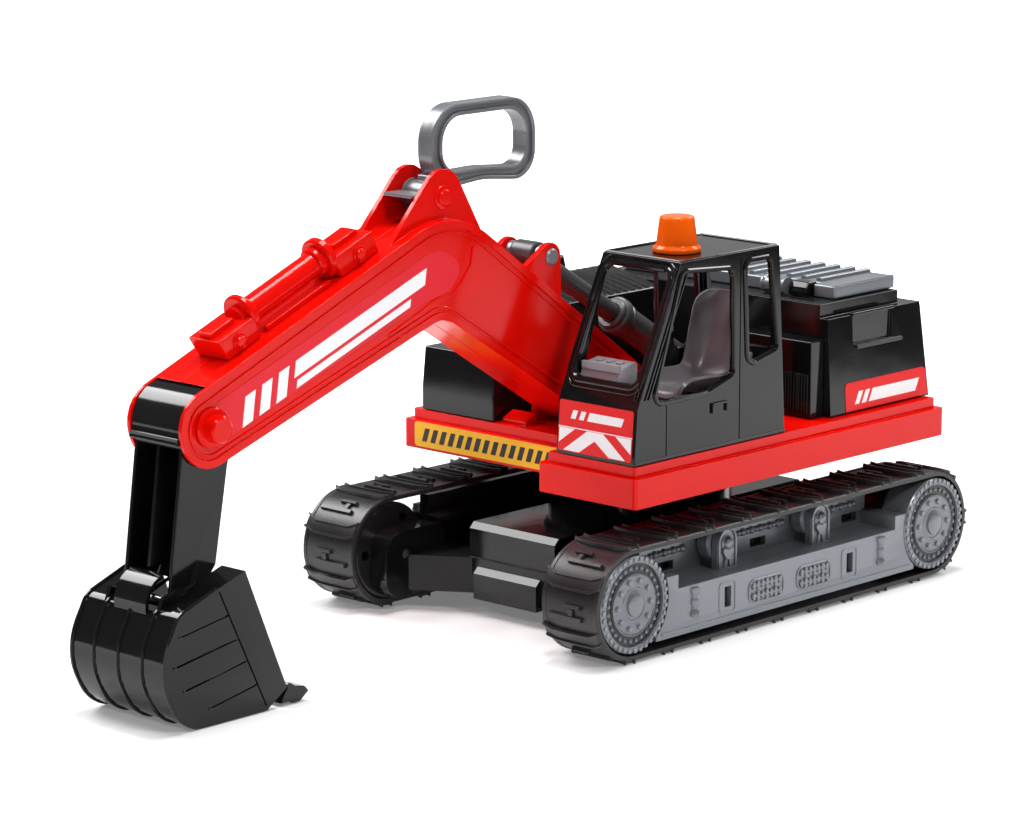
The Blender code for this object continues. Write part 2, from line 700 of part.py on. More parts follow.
def push_rod():
    """The flat rod inside the boom from the handle's crank to the arm's crank."""
    start = Vector((HANDLE_PIVOT[0], HANDLE_PIVOT[1] - CRANK))
    end = Vector((ARM_PIVOT[0], ARM_PIVOT[1] - CRANK))
    way = (end - start).normalized()
    square = Vector((-way.y, way.x)) * 2.6
    bar = [start + square, end + square, end - square, start - square]
    body = extrusion("push_rod", bar, "X", -1.9, 1.9)
    join(body, cross_rod("near_eye", start, -2.2, 2.2, 3.6, 16))
    join(body, cross_rod("near_pin", start, 0, 6, 1.5, 12))
    join(body, cross_rod("far_eye", end, -2.2, 2.2, 3.6, 16))
    return cut(body, cross_rod("far_bore", end, -5, 5, 2.2, 12))


# ---------------------------------------------------------------- boom ram

def ram_way():
    return (Vector(RAM_FOOT_PIN) - Vector(RAM_TOP_PIN)).normalized()


def along_ram(travel):
    """A point on the ram's line, measured from its top pin."""
    return (0, *(Vector(RAM_TOP_PIN) + ram_way() * travel))


RAM_LENGTH = (Vector(RAM_FOOT_PIN) - Vector(RAM_TOP_PIN)).length
COLLAR_START = 94.0


def ram_barrel():
    body = rod("ram_barrel", along_ram(COLLAR_START), along_ram(RAM_LENGTH), 10.8, sides=28)
    join(body, rod("collar", along_ram(COLLAR_START + 3), along_ram(COLLAR_START + 9), 13, sides=28))
    join(body, cross_rod("eye", RAM_FOOT_PIN, -10, 10, 10.8, 24))
    cut(body, rod("bore", along_ram(COLLAR_START - 5), along_ram(RAM_LENGTH - 16), 7.2, sides=24))
    return cut(body, cross_rod("foot_bore", RAM_FOOT_PIN, -20, 20, 4 + GAP, 16))


def ram_rod():
    body = rod("ram_rod", along_ram(0), along_ram(COLLAR_START + 44), 6.7, sides=24)
    join(body, cross_rod("eye", RAM_TOP_PIN, -9, 9, 8.6, 24))
    return cut(body, cross_rod("open_bore", RAM_TOP_PIN, -20, 20, 6.2, 16))


def ram_foot():
    """Bracket on the deck that holds the barrel's foot pin."""
    y, z = RAM_FOOT_PIN
    side = rounded([(y - 18, ON_DECK, 0), (y - 8, z + 8, 7), (y + 3.4, z + 8, 5), (y + 3.4, ON_DECK, 0)], 30)
    body = extrusion("ram_foot", side, "X", -15, 15)
    cut(body, blocks("room", ((-11.4, y - 30, ON_DECK + 2), (11.4, y + 10, 200))))
    return cut(body, cross_rod("bore", RAM_FOOT_PIN, -20, 20, 4 + GAP, 16))


# ---------------------------------------------------------------- arm and bucket

def arm():
    y, z = ARM_PIVOT
    by, bz = BUCKET_PIVOT
    side = [
        (-433, 170), (-445.4, 76.5), (by, bz - 11), (by + 9, bz - 8), (-408.6, 91.4), (-398, 150),
        (-392, 172),
    ]
    body = extrusion("arm", side, "X", -ARM_HALF, ARM_HALF)
    join(body, cross_rod("drum", ARM_PIVOT, -ARM_HALF, ARM_HALF, 23.6, 32))
    join(body, blocks("flange", ((-ARM_HALF, y - 25.5, z - 8), (ARM_HALF, y - 15, z - 4))))
    for low, high in ((-18.4, -1.3), (1.3, 18.4)):
        cut(body, blocks("channel", ((low, -460, 55), (high, -414, z - 11))))
    cut(body, cross_rod("hood_room", BUCKET_PIVOT, -16, 16, 21, 28))
    cut(body, blocks("foot_room", ((-16, -460, 50), (16, by + 40, bz + 13))))
    cut(body, blocks("web_holes", ((6, -420, 138), (11, -400, 145)), ((-11, -420, 138), (-6, -400, 145))))
    low = z - CRANK
    crank = [(y - 5, low - 5), (y + 45, low - 7), (y + 45, low + 41), (y + 19, low + 41), (y - 5, low + 3)]
    cut(body, extrusion("crank_room", crank, "X", -3, 3))
    join(body, cross_rod("crank_pin", (y, low), -4, 4, 1.5, 12))
    cut(body, cross_rod("bore", ARM_PIVOT, -40, 40, 6 + GAP, 20))
    return cut(body, cross_rod("foot_bore", BUCKET_PIVOT, -40, 40, 3.5 + GAP, 16))


def bucket_outline():
    return rounded([
        (-404, 90, 0), (-426, 83, 4), (-457, 71.5, 12), (-474.5, 40, 38), (-455, 0.3, 30), (-388, 0.3, 6),
        (-371, 11.5, 0),
    ], 12)


def bucket():
    outline = bucket_outline()
    body = extrusion("bucket", outline, "X", -BUCKET_HALF, BUCKET_HALF)
    inner = inset(outline, 2.6)
    inner[0] = Vector((-385, 93))
    inner[-1] = Vector((-352, 14))
    hood = cross_rod("hood", BUCKET_PIVOT, -14, 14, 19, 28)
    cut(hood, blocks("hood_back", ((-20, BUCKET_PIVOT[0] - 1, 40), (20, -400, 100))))
    join(body, hood)
    cut(body, extrusion("scoop", inner, "X", -BUCKET_HALF + 2.6, BUCKET_HALF - 2.6))
    cut(body, blocks("arm_room", ((-21.4, -444, 60), (21.4, -380, 110))))
    cut(body, cross_rod("hood_hollow", BUCKET_PIVOT, -21.4, 21.4, 16.4, 28))
    by = BUCKET_PIVOT[0]
    for side in (-1, 1):
        lug = rounded([(-454, 79, 0), (by + 6, 84, 6), (by + 8, 62, 6), (-462, 58, 0)], 30)
        join(body, extrusion("lug", lug, "X", side * 21.5, side * 24.5))
    return cut(body, cross_rod("bore", BUCKET_PIVOT, -40, 40, 3.5 + GAP, 16))


def bucket_teeth():
    edge = [(-376, 2), (-376, 9.5), (-368.5, 14), (-361, 9.5), (-361, 2)]
    body = extrusion("bucket_teeth", edge, "X", -BUCKET_HALF, BUCKET_HALF)
    for middle in (-36, -12, 12, 36):
        tooth = [(-366, 0.5), (-366, 11.5), (-356, 9.5), (-352.6, 6), (-360, 0.5)]
        join(body, extrusion("tooth", tooth, "X", middle - 6, middle + 6))
    clear = [(-390, -5), (-390, 30), (-371.4, 30), (-370.5, 11.0), (-376, 2), (-376, -5)]
    return cut(body, extrusion("lip_room", clear, "X", -60, 60))


# ---------------------------------------------------------------- assembly

def build():
    red = plastic("red plastic", (0.78, 0.02, 0.015), 0.25)
    black = plastic("black plastic", (0.012, 0.012, 0.013), 0.25)
    rubber = plastic("belt rubber", (0.02, 0.018, 0.02), 0.6)
    grey = plastic("silver grey plastic", (0.22, 0.235, 0.25), 0.4)
    dark = plastic("dark grey plastic", (0.05, 0.05, 0.055), 0.4)
    trim = plastic("seat plastic", (0.22, 0.19, 0.21), 0.45)
    orange = plastic("orange plastic", (0.95, 0.20, 0.01), 0.3)
    steel = plastic("steel", (0.55, 0.55, 0.56), 0.3, 1.0)

    attach(chassis(), None, black)
    attach(turntable(), None, black)
    attach(slew_pin(), None, steel)
    for side, label in ((1, "right"), (-1, "left")):
        attach(side_frame(f"side_frame_{label}", side), None, grey)
        attach(belt(f"belt_{label}", side), None, rubber)
        for end, place in ((-1, "front"), (1, "rear")):
            wheel = joint(f"wheel_{place}_{label}_axis", None, (end * WHEEL_Y, WHEEL_Z))
            attach(wheel_rim(f"wheel_rim_{place}_{label}", side, end * WHEEL_Y), wheel, grey)
            attach(wheel_drum(f"wheel_drum_{place}_{label}", side, end * WHEEL_Y), wheel, black)
            hub = (end * WHEEL_Y, WHEEL_Z)
            axle = cross_rod(f"axle_{place}_{label}", hub, side * 70.5, side * 126.6, AXLE_RADIUS, 16)
            attach(axle, None, steel)
            spin = joint(f"roller_{place}_{label}_axis", None, (end * ROLLER_Y, ROLLER_Z))
            attach(roller(f"roller_{place}_{label}", side, end * ROLLER_Y), spin, grey)

    slew = joint("slew_axis", None, (0, 0))
    attach(deck(), slew, red)
    attach(boom_bracket(), slew, red)
    attach(pin("boom_foot_pin", BOOM_PIVOT, 29.5, 5), slew, dark)
    attach(cab(), slew, black)
    attach(seat(), slew, trim)
    attach(dashboard(), slew, trim)
    attach(beacon(), slew, orange)
    attach(engine_cover(), slew, black)
    attach(engine_lid(), slew, grey)
    attach(latch_bracket(), slew, black)
    attach(latch_roll(), slew, grey)
    attach(vent_box(), slew, black)
    attach(radiator_cover(), slew, black)
    attach(exhaust_stack(), slew, black)
    attach(tool_box(), slew, black)
    attach(ram_foot(), slew, black)
    attach(pin("ram_foot_pin", RAM_FOOT_PIN, 16, 4, sides=16), slew, dark)

    boom = joint("boom_axis", slew, BOOM_PIVOT)
    right_half = boom_right()
    attach(mirrored("boom_left", right_half), boom, red)
    attach(right_half, boom, red)
    attach(dummy_ram(), boom, red)
    attach(pin("arm_pin", ARM_PIVOT, BOOM_HALF + GAP, 6, 8.5, 10.5), boom, red)
    attach(pin("handle_pin", HANDLE_PIVOT, EAR_FACE + GAP, 3.5, 5.5, 3.2), boom, red)
    attach(pin("ram_top_pin", RAM_TOP_PIN, RAM_EAR_FACE + GAP, 4, 5.5, 1.5), boom, grey)

    barrel = joint("ram_barrel_axis", slew, RAM_FOOT_PIN)
    attach(ram_barrel(), barrel, dark)
    attach(ram_rod(), barrel, dark)

    lever = joint("handle_axis", boom, HANDLE_PIVOT)
    attach(handle(), lever, grey)
    link = joint("push_rod_axis", lever, (HANDLE_PIVOT[0], HANDLE_PIVOT[1] - CRANK))
    attach(push_rod(), link, grey)

    stick = joint("arm_axis", boom, ARM_PIVOT)
    attach(arm(), stick, black)
    attach(pin("bucket_pin", BUCKET_PIVOT, 25.6, 3.5, sides=16), stick, steel)
    curl = joint("bucket_axis", stick, BUCKET_PIVOT)
    attach(bucket(), curl, black)
    attach(bucket_teeth(), curl, black)


clear_scene()
build()
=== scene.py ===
"""The toy excavator's visible surface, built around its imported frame.

Shapes are written in millimetres in the machine's own axes: x = y = 0 is the slew axis and z = 0 the
ground, +Y runs to the rear and +X to the cab side. piece() turns them into the frame's metres.
"""
import json
import math

import bmesh
import bpy
from mathutils import Matrix, Vector

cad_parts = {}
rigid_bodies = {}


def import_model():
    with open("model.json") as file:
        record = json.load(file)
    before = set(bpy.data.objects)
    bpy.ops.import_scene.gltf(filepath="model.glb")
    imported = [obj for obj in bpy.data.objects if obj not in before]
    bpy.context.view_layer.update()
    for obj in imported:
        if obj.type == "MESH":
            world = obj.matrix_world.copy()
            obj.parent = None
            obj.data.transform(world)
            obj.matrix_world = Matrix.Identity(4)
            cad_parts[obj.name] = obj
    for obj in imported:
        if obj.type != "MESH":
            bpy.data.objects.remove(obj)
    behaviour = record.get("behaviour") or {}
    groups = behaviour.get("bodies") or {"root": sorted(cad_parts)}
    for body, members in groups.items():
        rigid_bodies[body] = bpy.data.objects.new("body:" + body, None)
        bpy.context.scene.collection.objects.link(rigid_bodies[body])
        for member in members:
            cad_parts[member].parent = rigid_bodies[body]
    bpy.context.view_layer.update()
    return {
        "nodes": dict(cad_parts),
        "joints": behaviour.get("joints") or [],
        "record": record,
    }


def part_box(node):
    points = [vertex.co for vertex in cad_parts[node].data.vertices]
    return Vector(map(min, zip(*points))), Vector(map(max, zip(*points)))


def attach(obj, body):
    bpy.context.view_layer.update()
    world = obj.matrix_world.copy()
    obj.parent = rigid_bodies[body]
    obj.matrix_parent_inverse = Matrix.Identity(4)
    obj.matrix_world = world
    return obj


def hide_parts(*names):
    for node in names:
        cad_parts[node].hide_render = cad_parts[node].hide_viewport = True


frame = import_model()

MM = 0.001
SHARP_ANGLE = math.radians(32)
MOST_CHANGE = 0.06  # share of its volume that a shape may gain or lose by rounding
WELD = 0.002
JOINTS = {joint["name"]: joint for joint in frame["joints"]}
ORIGIN = Vector((0, JOINTS["slew"]["pos_m"][1], 0))
TO_FRAME = Matrix.Translation(ORIGIN) @ Matrix.Scale(MM, 4)
FROM_FRAME = TO_FRAME.inverted()


def pivot(joint):
    """(y, z) of a cross joint's axis in machine millimetres."""
    place = FROM_FRAME @ Vector(JOINTS[joint]["pos_m"])
    return Vector((place.y, place.z))


def pin_middle(node):
    """(y, z) of the middle of a CAD node's box."""
    low, high = (FROM_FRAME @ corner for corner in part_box(node))
    return ((low + high) / 2).yz


# ---------------------------------------------------------------- shapes, in millimetres

def basis(across, up, out, origin=(0, 0, 0)):
    turned_to = Matrix((across, up, out)).transposed().to_4x4()
    return Matrix.Translation(Vector(origin)) @ turned_to


ALONG = {
    "X": basis((0, 1, 0), (0, 0, 1), (1, 0, 0)),
    "Y": basis((1, 0, 0), (0, 0, 1), (0, 1, 0)),
    "Z": basis((1, 0, 0), (0, 1, 0), (0, 0, 1)),
}


def rounded(corners, step=10):
    """An outline from (a, b, fillet radius) corners."""
    outline = []
    for index, (a, b, radius) in enumerate(corners):
        here = Vector((a, b))
        back = (Vector(corners[index - 1][:2]) - here).normalized()
        ahead = (Vector(corners[(index + 1) % len(corners)][:2]) - here).normalized()
        if radius == 0:
            outline.append(here)
            continue
        turn = math.pi - back.angle(ahead)
        way = 1 if (-back).cross(ahead) > 0 else -1
        centre = here + (back + ahead).normalized() * radius / math.cos(turn / 2)
        start = here + back * radius * math.tan(turn / 2) - centre
        pieces = max(1, round(math.degrees(turn) / step))
        for piece_index in range(pieces + 1):
            outline.append(centre + Matrix.Rotation(way * turn * piece_index / pieces, 2) @ start)
    return outline


def rectangle(a_low, a_high, b_low, b_high, radius=0, step=10):
    return rounded([(a_low, b_low, radius), (a_high, b_low, radius), (a_high, b_high, radius),
                    (a_low, b_high, radius)], step)


def stroke(start, end, width):
    """The outline of a straight stroke."""
    start, end = Vector(start), Vector(end)
    way = (end - start).normalized()
    square = Vector((-way.y, way.x)) * width / 2
    return [start + square, end + square, end - square, start - square]


def inset(outline, depth):
    points = [Vector(point) for point in outline]
    area = sum(a.cross(b) for a, b in zip(points, points[1:] + points[:1]))
    side = 1 if area > 0 else -1
    moved = []
    for index, here in enumerate(points):
        back = (here - points[index - 1]).normalized()
        ahead = (points[(index + 1) % len(points)] - here).normalized()
        normals = [Vector((-way.y, way.x)) * side for way in (back, ahead)]
        middle = (normals[0] + normals[1]).normalized()
        moved.append(here + middle * depth / max(0.3, middle.dot(normals[0])))
    return moved


def outward(bm):
    bmesh.ops.recalc_face_normals(bm, faces=bm.faces)
    return bm


def bridge(bm, rings, capped=False):
    """Faces between rings of vertices: round to the first ring again, or capped at both ends."""
    if capped:
        bm.faces.new(rings[0])
        bm.faces.new(rings[-1])
    for first, second in zip(rings, rings[1:] if capped else rings[1:] + rings[:1]):
        for index in range(len(first)):
            after = (index + 1) % len(first)
            bm.faces.new((first[index], first[after], second[after], second[index]))


def matrix_of(axis):
    return ALONG[axis] if isinstance(axis, str) else axis


def plate(outline, axis, low, high):
    """A flat outline given thickness; axis is X, Y, Z or a basis matrix."""
    place = matrix_of(axis)
    bm = bmesh.new()
    rings = [[bm.verts.new(place @ Vector((a, b, c))) for a, b in outline] for c in (low, high)]
    bridge(bm, rings, capped=True)
    return outward(bm)


def band(outer, inner, axis, low, high, crown):
    """A closed ring between two outlines with as many points; crown is the height of its rounded top."""
    place = matrix_of(axis)
    bm = bmesh.new()
    middle = [(Vector(a) + Vector(b)) / 2 for a, b in zip(outer, inner)]
    levels = [
        (outer, low), (outer, high - crown), ([Vector(a).lerp(m, 0.45) for a, m in zip(outer, middle)], high),
        ([Vector(b).lerp(m, 0.45) for b, m in zip(inner, middle)], high), (inner, high - crown), (inner, low),
    ]
    rings = [[bm.verts.new(place @ Vector((*point, level))) for point in line] for line, level in levels]
    bridge(bm, rings)
    return outward(bm)


def ridge(outline, width, axis, low, high, crown):
    return band(outline, inset(outline, width), axis, low, high, crown)


def cuboid(low, high):
    bm = bmesh.new()
    size = [abs(b - a) for a, b in zip(low, high)]
    middle = [(a + b) / 2 for a, b in zip(low, high)]
    bmesh.ops.create_cube(bm, size=1.0, matrix=Matrix.Translation(middle) @ Matrix.Diagonal((*size, 1.0)))
    return bm


def turn_to(axis):
    return Vector((0, 0, 1)).rotation_difference(Vector(axis)).to_matrix().to_4x4()


def rod(start, end, radius, end_radius=None, sides=40):
    start, end = Vector(start), Vector(end)
    bm = bmesh.new()
    bmesh.ops.create_cone(
        bm, cap_ends=True, segments=sides, radius1=radius,
        radius2=radius if end_radius is None else end_radius, depth=(end - start).length,
        matrix=Matrix.Translation((start + end) / 2) @ turn_to(end - start),
    )
    return bm


def cross_rod(centre, low, high, radius, sides=40):
    return rod((low, *centre), (high, *centre), radius, sides=sides)


def turned(profile, centre, axis, sides=64):
    """A profile of (radius, height) points turned about an axis; it may start and end on the axis."""
    place = Matrix.Translation(Vector(centre)) @ turn_to(axis)
    bm = bmesh.new()
    rings = []
    for radius, height in profile:
        if radius < 1e-6:
            rings.append([bm.verts.new(place @ Vector((0, 0, height)))])
            continue
        angles = [2 * math.pi * index / sides for index in range(sides)]
        rings.append([
            bm.verts.new(place @ Vector((radius * math.cos(a), radius * math.sin(a), height)))
            for a in angles
        ])
    pairs = list(zip(rings, rings[1:]))
    if len(rings[0]) > 1:
        pairs.append((rings[-1], rings[0]))
    for first, second in pairs:
        for index in range(sides):
            after = (index + 1) % sides
            corners = []
            for ring, order in ((first, (index, after)), (second, (after, index))):
                corners += [ring[0]] if len(ring) == 1 else [ring[order[0]], ring[order[1]]]
            if len(corners) > 2:
                bm.faces.new(corners)
    return outward(bm)


def ball(centre, radius, flat, axis):
    bm = bmesh.new()
    place = Matrix.Translation(Vector(centre)) @ turn_to(axis) @ Matrix.Diagonal((1, 1, flat, 1))
    bmesh.ops.create_uvsphere(bm, u_segments=16, v_segments=10, radius=radius, matrix=place)
    return bm


def soften(bm, width, segments=2):
    """Rounds the sharp edges, and keeps the shape as it was if that fails."""
    before = bm.calc_volume()
    for share in (1.0, 0.6, 0.3):
        trial = bm.copy()
        edges = [
            edge for edge in trial.edges
            if len(edge.link_faces) == 2 and edge.calc_face_angle(0) > SHARP_ANGLE
        ]
        bmesh.ops.bevel(
            trial, geom=edges, offset=width * share, offset_type="OFFSET", segments=segments,
            profile=0.5, affect="EDGES", clamp_overlap=True, loop_slide=True,
        )
        bmesh.ops.remove_doubles(trial, verts=trial.verts, dist=WELD)
        closed = all(len(edge.link_faces) == 2 for edge in trial.edges)
        if closed and abs(trial.calc_volume() / before - 1) < MOST_CHANGE:
            bm.free()
            return trial
        trial.free()
    return bm


def linked_object(name, data):
    obj = bpy.data.objects.new(name, data)
    bpy.context.scene.collection.objects.link(obj)
    return obj


def mesh_object(name, bm):
    """The bmesh as an object in the scene; the bmesh is freed."""
    data = bpy.data.meshes.new(name)
    bm.to_mesh(data)
    bm.free()
    return linked_object(name, data)


def final_mesh(obj):
    """An object's mesh with its modifiers applied; the object is removed."""
    shaped = bpy.data.meshes.new_from_object(obj.evaluated_get(bpy.context.evaluated_depsgraph_get()))
    bm = bmesh.new()
    bm.from_mesh(shaped)
    for data in (obj.data, shaped):
        bpy.data.meshes.remove(data)
    return bm


def together(*solids):
    """Several solids as one mesh."""
    whole = bmesh.new()
    for solid in solids:
        data = bpy.data.meshes.new("part")
        solid.to_mesh(data)
        whole.from_mesh(data)
        bpy.data.meshes.remove(data)
        solid.free()
    return whole


def carved(solid, *tools):
    """The solid less each tool."""
    target = mesh_object("target", solid)
    helpers = [mesh_object("tool", tool) for tool in tools]
    for helper in helpers:
        modifier = target.modifiers.new("Carve", "BOOLEAN")
        modifier.operation = "DIFFERENCE"
        modifier.solver = "EXACT"
        modifier.use_self = True
        modifier.object = helper
    bm = final_mesh(target)
    for helper in helpers:
        bpy.data.meshes.remove(helper.data)
    bmesh.ops.remove_doubles(bm, verts=bm.verts, dist=WELD)
    return bm


def node_copy(node):
    """A CAD node's solid in machine millimetres, with its flat faces whole again."""
    bm = bmesh.new()
    bm.from_mesh(frame["nodes"][node].data)
    bm.transform(FROM_FRAME)
    bmesh.ops.remove_doubles(bm, verts=bm.verts, dist=0.004)
    bmesh.ops.dissolve_limit(bm, angle_limit=math.radians(0.6), verts=bm.verts, edges=bm.edges)
    return outward(bm)


def piece(name, bm, body, material, replaces=(), smooth=30):
    """A finished piece that rides on a body."""
    bm.transform(TO_FRAME)
    obj = mesh_object(name, bm)
    obj.data.shade_smooth()
    obj.data.set_sharp_from_angle(angle=math.radians(smooth))
    obj.data.materials.append(material)
    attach(obj, body)
    if replaces:
        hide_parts(*replaces)
    return obj


# ---------------------------------------------------------------- materials

def plastic(name, colour, roughness, grain=0.035, coat=0.0, wear=0.25, tint=0.08, metal=0.0, gloss=0.5,
            wave=0.06):
    """Moulded plastic: slow colour drift, worn edges, fine grain and slightly wavy walls."""
    material = bpy.data.materials.new(name)
    material.use_nodes = True
    tree = material.node_tree
    shader = tree.nodes["Principled BSDF"]
    place = tree.nodes.new("ShaderNodeTexCoord")

    def feed(source, output, target, socket):
        tree.links.new(source.outputs[output], target.inputs[socket])

    def noise(scale, detail):
        node = tree.nodes.new("ShaderNodeTexNoise")
        node.inputs["Scale"].default_value = scale
        node.inputs["Detail"].default_value = detail
        feed(place, "Object", node, "Vector")
        return node

    def ramp(source, output, *stops):
        node = tree.nodes.new("ShaderNodeValToRGB")
        for element, (position, shade) in zip(node.color_ramp.elements, stops):
            element.position = position
            element.color = (*shade, 1)
        feed(source, output, node, "Fac")
        return node

    def bump(height, strength, distance):
        node = tree.nodes.new("ShaderNodeBump")
        node.inputs["Strength"].default_value = strength
        node.inputs["Distance"].default_value = distance
        feed(height, "Fac", node, "Height")
        return node

    def paint(factor, added=0.0):
        return [min(1, value * factor + added) for value in colour]

    base = ramp(noise(14, 3), "Fac", (0.3, paint(1 - tint)), (0.7, paint(1 + tint)))
    edge = ramp(tree.nodes.new("ShaderNodeNewGeometry"), "Pointiness", (0.52, (0, 0, 0)), (0.62, (wear,) * 3))
    worn = tree.nodes.new("ShaderNodeMix")
    worn.data_type = "RGBA"
    worn.inputs["B"].default_value = (*paint(1.25, 0.02), 1)
    feed(edge, "Color", worn, "Factor")
    feed(base, "Color", worn, "A")
    feed(worn, "Result", shader, "Base Color")

    rough = tree.nodes.new("ShaderNodeMapRange")
    rough.inputs["To Min"].default_value = roughness * 0.88
    rough.inputs["To Max"].default_value = roughness * 1.14
    feed(noise(55, 4), "Fac", rough, "Value")
    feed(rough, "Result", shader, "Roughness")

    waves = bump(noise(38, 1), wave, 0.002)
    feed(bump(noise(1500, 2), grain, 0.0004), "Normal", waves, "Normal")
    feed(waves, "Normal", shader, "Normal")
    shader.inputs["Coat Weight"].default_value = coat
    shader.inputs["Coat Roughness"].default_value = 0.08
    shader.inputs["Metallic"].default_value = metal
    shader.inputs["Specular IOR Level"].default_value = gloss
    return material


def print_film(name, colour):
    """A printed sticker film: even ink and a soft sheen."""
    return plastic(name, colour, 0.32, grain=0.02, wear=0.0, tint=0.04, gloss=0.3)


RED = plastic("red_plastic", (0.76, 0.0035, 0.0010), 0.14, gloss=0.14, coat=0.07, tint=0.04, wear=0.1)
BLACK = plastic("black_plastic", (0.004, 0.004, 0.0045), 0.09, wear=0.4, gloss=0.33)
SATIN_BLACK = plastic("satin_black", (0.008, 0.008, 0.009), 0.24, grain=0.06, wear=0.4)
RUBBER = plastic("belt_rubber", (0.011, 0.0095, 0.0105), 0.34, grain=0.2, wear=0.6, gloss=0.45)
GREY = plastic("silver_grey", (0.205, 0.218, 0.240), 0.30, grain=0.02, wear=0.6, tint=0.03, metal=0.45,
               wave=0.012)
HANDLE_GREY = plastic("handle_grey", (0.19, 0.198, 0.212), 0.30, grain=0.02, wear=0.5, tint=0.03, metal=0.4,
                      wave=0.012)
DARK = plastic("dark_grey", (0.050, 0.050, 0.053), 0.32, grain=0.06, wear=0.3)
TRIM = plastic("seat_plastic", (0.235, 0.210, 0.228), 0.28, grain=0.1, wear=0.4)
ORANGE = plastic("orange_plastic", (0.98, 0.118, 0.0), 0.14, gloss=0.3, tint=0.03)
STEEL = plastic("steel", (0.62, 0.62, 0.63), 0.28, grain=0.1, wear=0.1, tint=0.1, metal=1.0)
INK_CRIMSON = print_film("crimson_film", (0.78, 0.008, 0.022))
INK_RED = print_film("red_film", (0.80, 0.007, 0.009))
INK_WHITE = print_film("white_film", (0.95, 0.95, 0.97))
INK_YELLOW = print_film("yellow_film", (1.0, 0.52, 0.002))
INK_BLACK = print_film("black_film", (0.012, 0.011, 0.010))

SLOT_MATERIAL = {
    "red_plastic": RED, "black_plastic": BLACK, "belt_rubber": RUBBER, "silver_plastic": GREY,
    "dark_plastic": DARK, "seat_plastic": TRIM, "orange_plastic": ORANGE, "steel": STEEL,
}
SLOT_OF = {part["node"]: part["material_slot"] for part in frame["record"]["subparts"]}
BODY_OF = {node: body for body, nodes in frame["record"]["behaviour"]["bodies"].items() for node in nodes}


def stand_in(name, bm, node, material=None, smooth=30):
    """A finished piece in place of a CAD node, on its body and in its slot."""
    slot = SLOT_OF[node]
    return piece(name, bm, BODY_OF[node], material or SLOT_MATERIAL[slot], (node,), smooth)


def refined(node, width=0.7, segments=2, material=None, cuts=(), adds=()):
    """A CAD node with rounded edges, and with finer cuts and solids of its own material."""
    bm = soften(node_copy(node), width, segments)
    if cuts:
        bm = carved(bm, *cuts)
    if adds:
        bm = together(bm, *adds)
    return stand_in(f"{node}_skin", bm, node, material)


def box(low, high, width=0.5, segments=2):
    return soften(cuboid(low, high), width, segments)


def slab(outline, axis, low, high, width=0.5, segments=2):
    return soften(plate(outline, axis, low, high), width, segments)


def slanted(middle, y_low, y_high):
    """A parallelogram outline whose ends lean forwards: middle height, half height, both ends."""
    centre, half = middle
    shift = half * 0.56
    return [(y_low - shift, centre - half), (y_high - shift, centre - half), (y_high + shift, centre + half),
            (y_low + shift, centre + half)]


# ---------------------------------------------------------------- tracks

WHEEL_Y = abs(pivot("wheel_rear_right_spin").x)
WHEEL_Z = pivot("wheel_rear_right_spin").y
BELT_OUTER = 36.2
BELT_INNER = 33.0
BELT_IN, BELT_OUT = 84.8, 131.2
CLEATS = 23
SIDES = ((1, "right"), (-1, "left"))
ENDS = ((-1, "front"), (1, "rear"))
WHEEL_FACE = 131.6
FRAME_FACE = 131.0
PANEL_FACE = 101.3
BENCH_TOP = 40.8
SLOT_Y, SLOT_LOW = 63, 20.0
VENT_Z = 25.5
ROLLER_Y, ROLLER_Z = 48, 57.3


def belt_point(travel, height):
    """(y, z) at a distance along the belt, and a height above its outer surface."""
    straight = 2 * WHEEL_Y
    bend = math.pi * BELT_OUTER
    lap, travel = divmod(travel % (2 * straight + 2 * bend), straight + bend)
    radius = BELT_OUTER + height
    if travel < straight:
        place = Vector((travel - WHEEL_Y, -radius))
    else:
        slope = (travel - straight) / BELT_OUTER
        place = Vector((WHEEL_Y + radius * math.sin(slope), -radius * math.cos(slope)))
    if lap:
        place = -place
    return place.x, WHEEL_Z + place.y


BELT_LENGTH = 4 * WHEEL_Y + 2 * math.pi * BELT_OUTER


def belt_block(bm, side, start, end, x_low, x_high, height, bow=0.0, along=2):
    """A raised block that follows the belt; bow carries its ends along the belt."""
    draft, across = 0.35, 6

    def corner(s, t, level):
        edge = draft if level else 0.0
        x = x_low + edge + (x_high - x_low - 2 * edge) * s
        travel = start + edge + (end - start - 2 * edge) * t
        reach = max(0.0, abs(2 * (x - BELT_IN) / (BELT_OUT - BELT_IN) - 1) - 0.55) / 0.45
        y, z = belt_point(travel + bow * reach * reach, height if level else -0.4)
        return bm.verts.new((side * x, y, z))

    grids = [
        [[corner(i / across, j / along, level) for j in range(along + 1)] for i in range(across + 1)]
        for level in (0, 1)
    ]
    for grid in grids:
        for i in range(across):
            for j in range(along):
                bm.faces.new((grid[i][j], grid[i + 1][j], grid[i + 1][j + 1], grid[i][j + 1]))
    rim = [(i, 0) for i in range(across)] + [(across, j) for j in range(along)]
    rim += [(i, along) for i in range(across, 0, -1)] + [(0, j) for j in range(along, 0, -1)]
    for (i, j), (m, n) in zip(rim, rim[1:] + rim[:1]):
        bm.faces.new((grids[0][i][j], grids[0][m][n], grids[1][m][n], grids[1][i][j]))


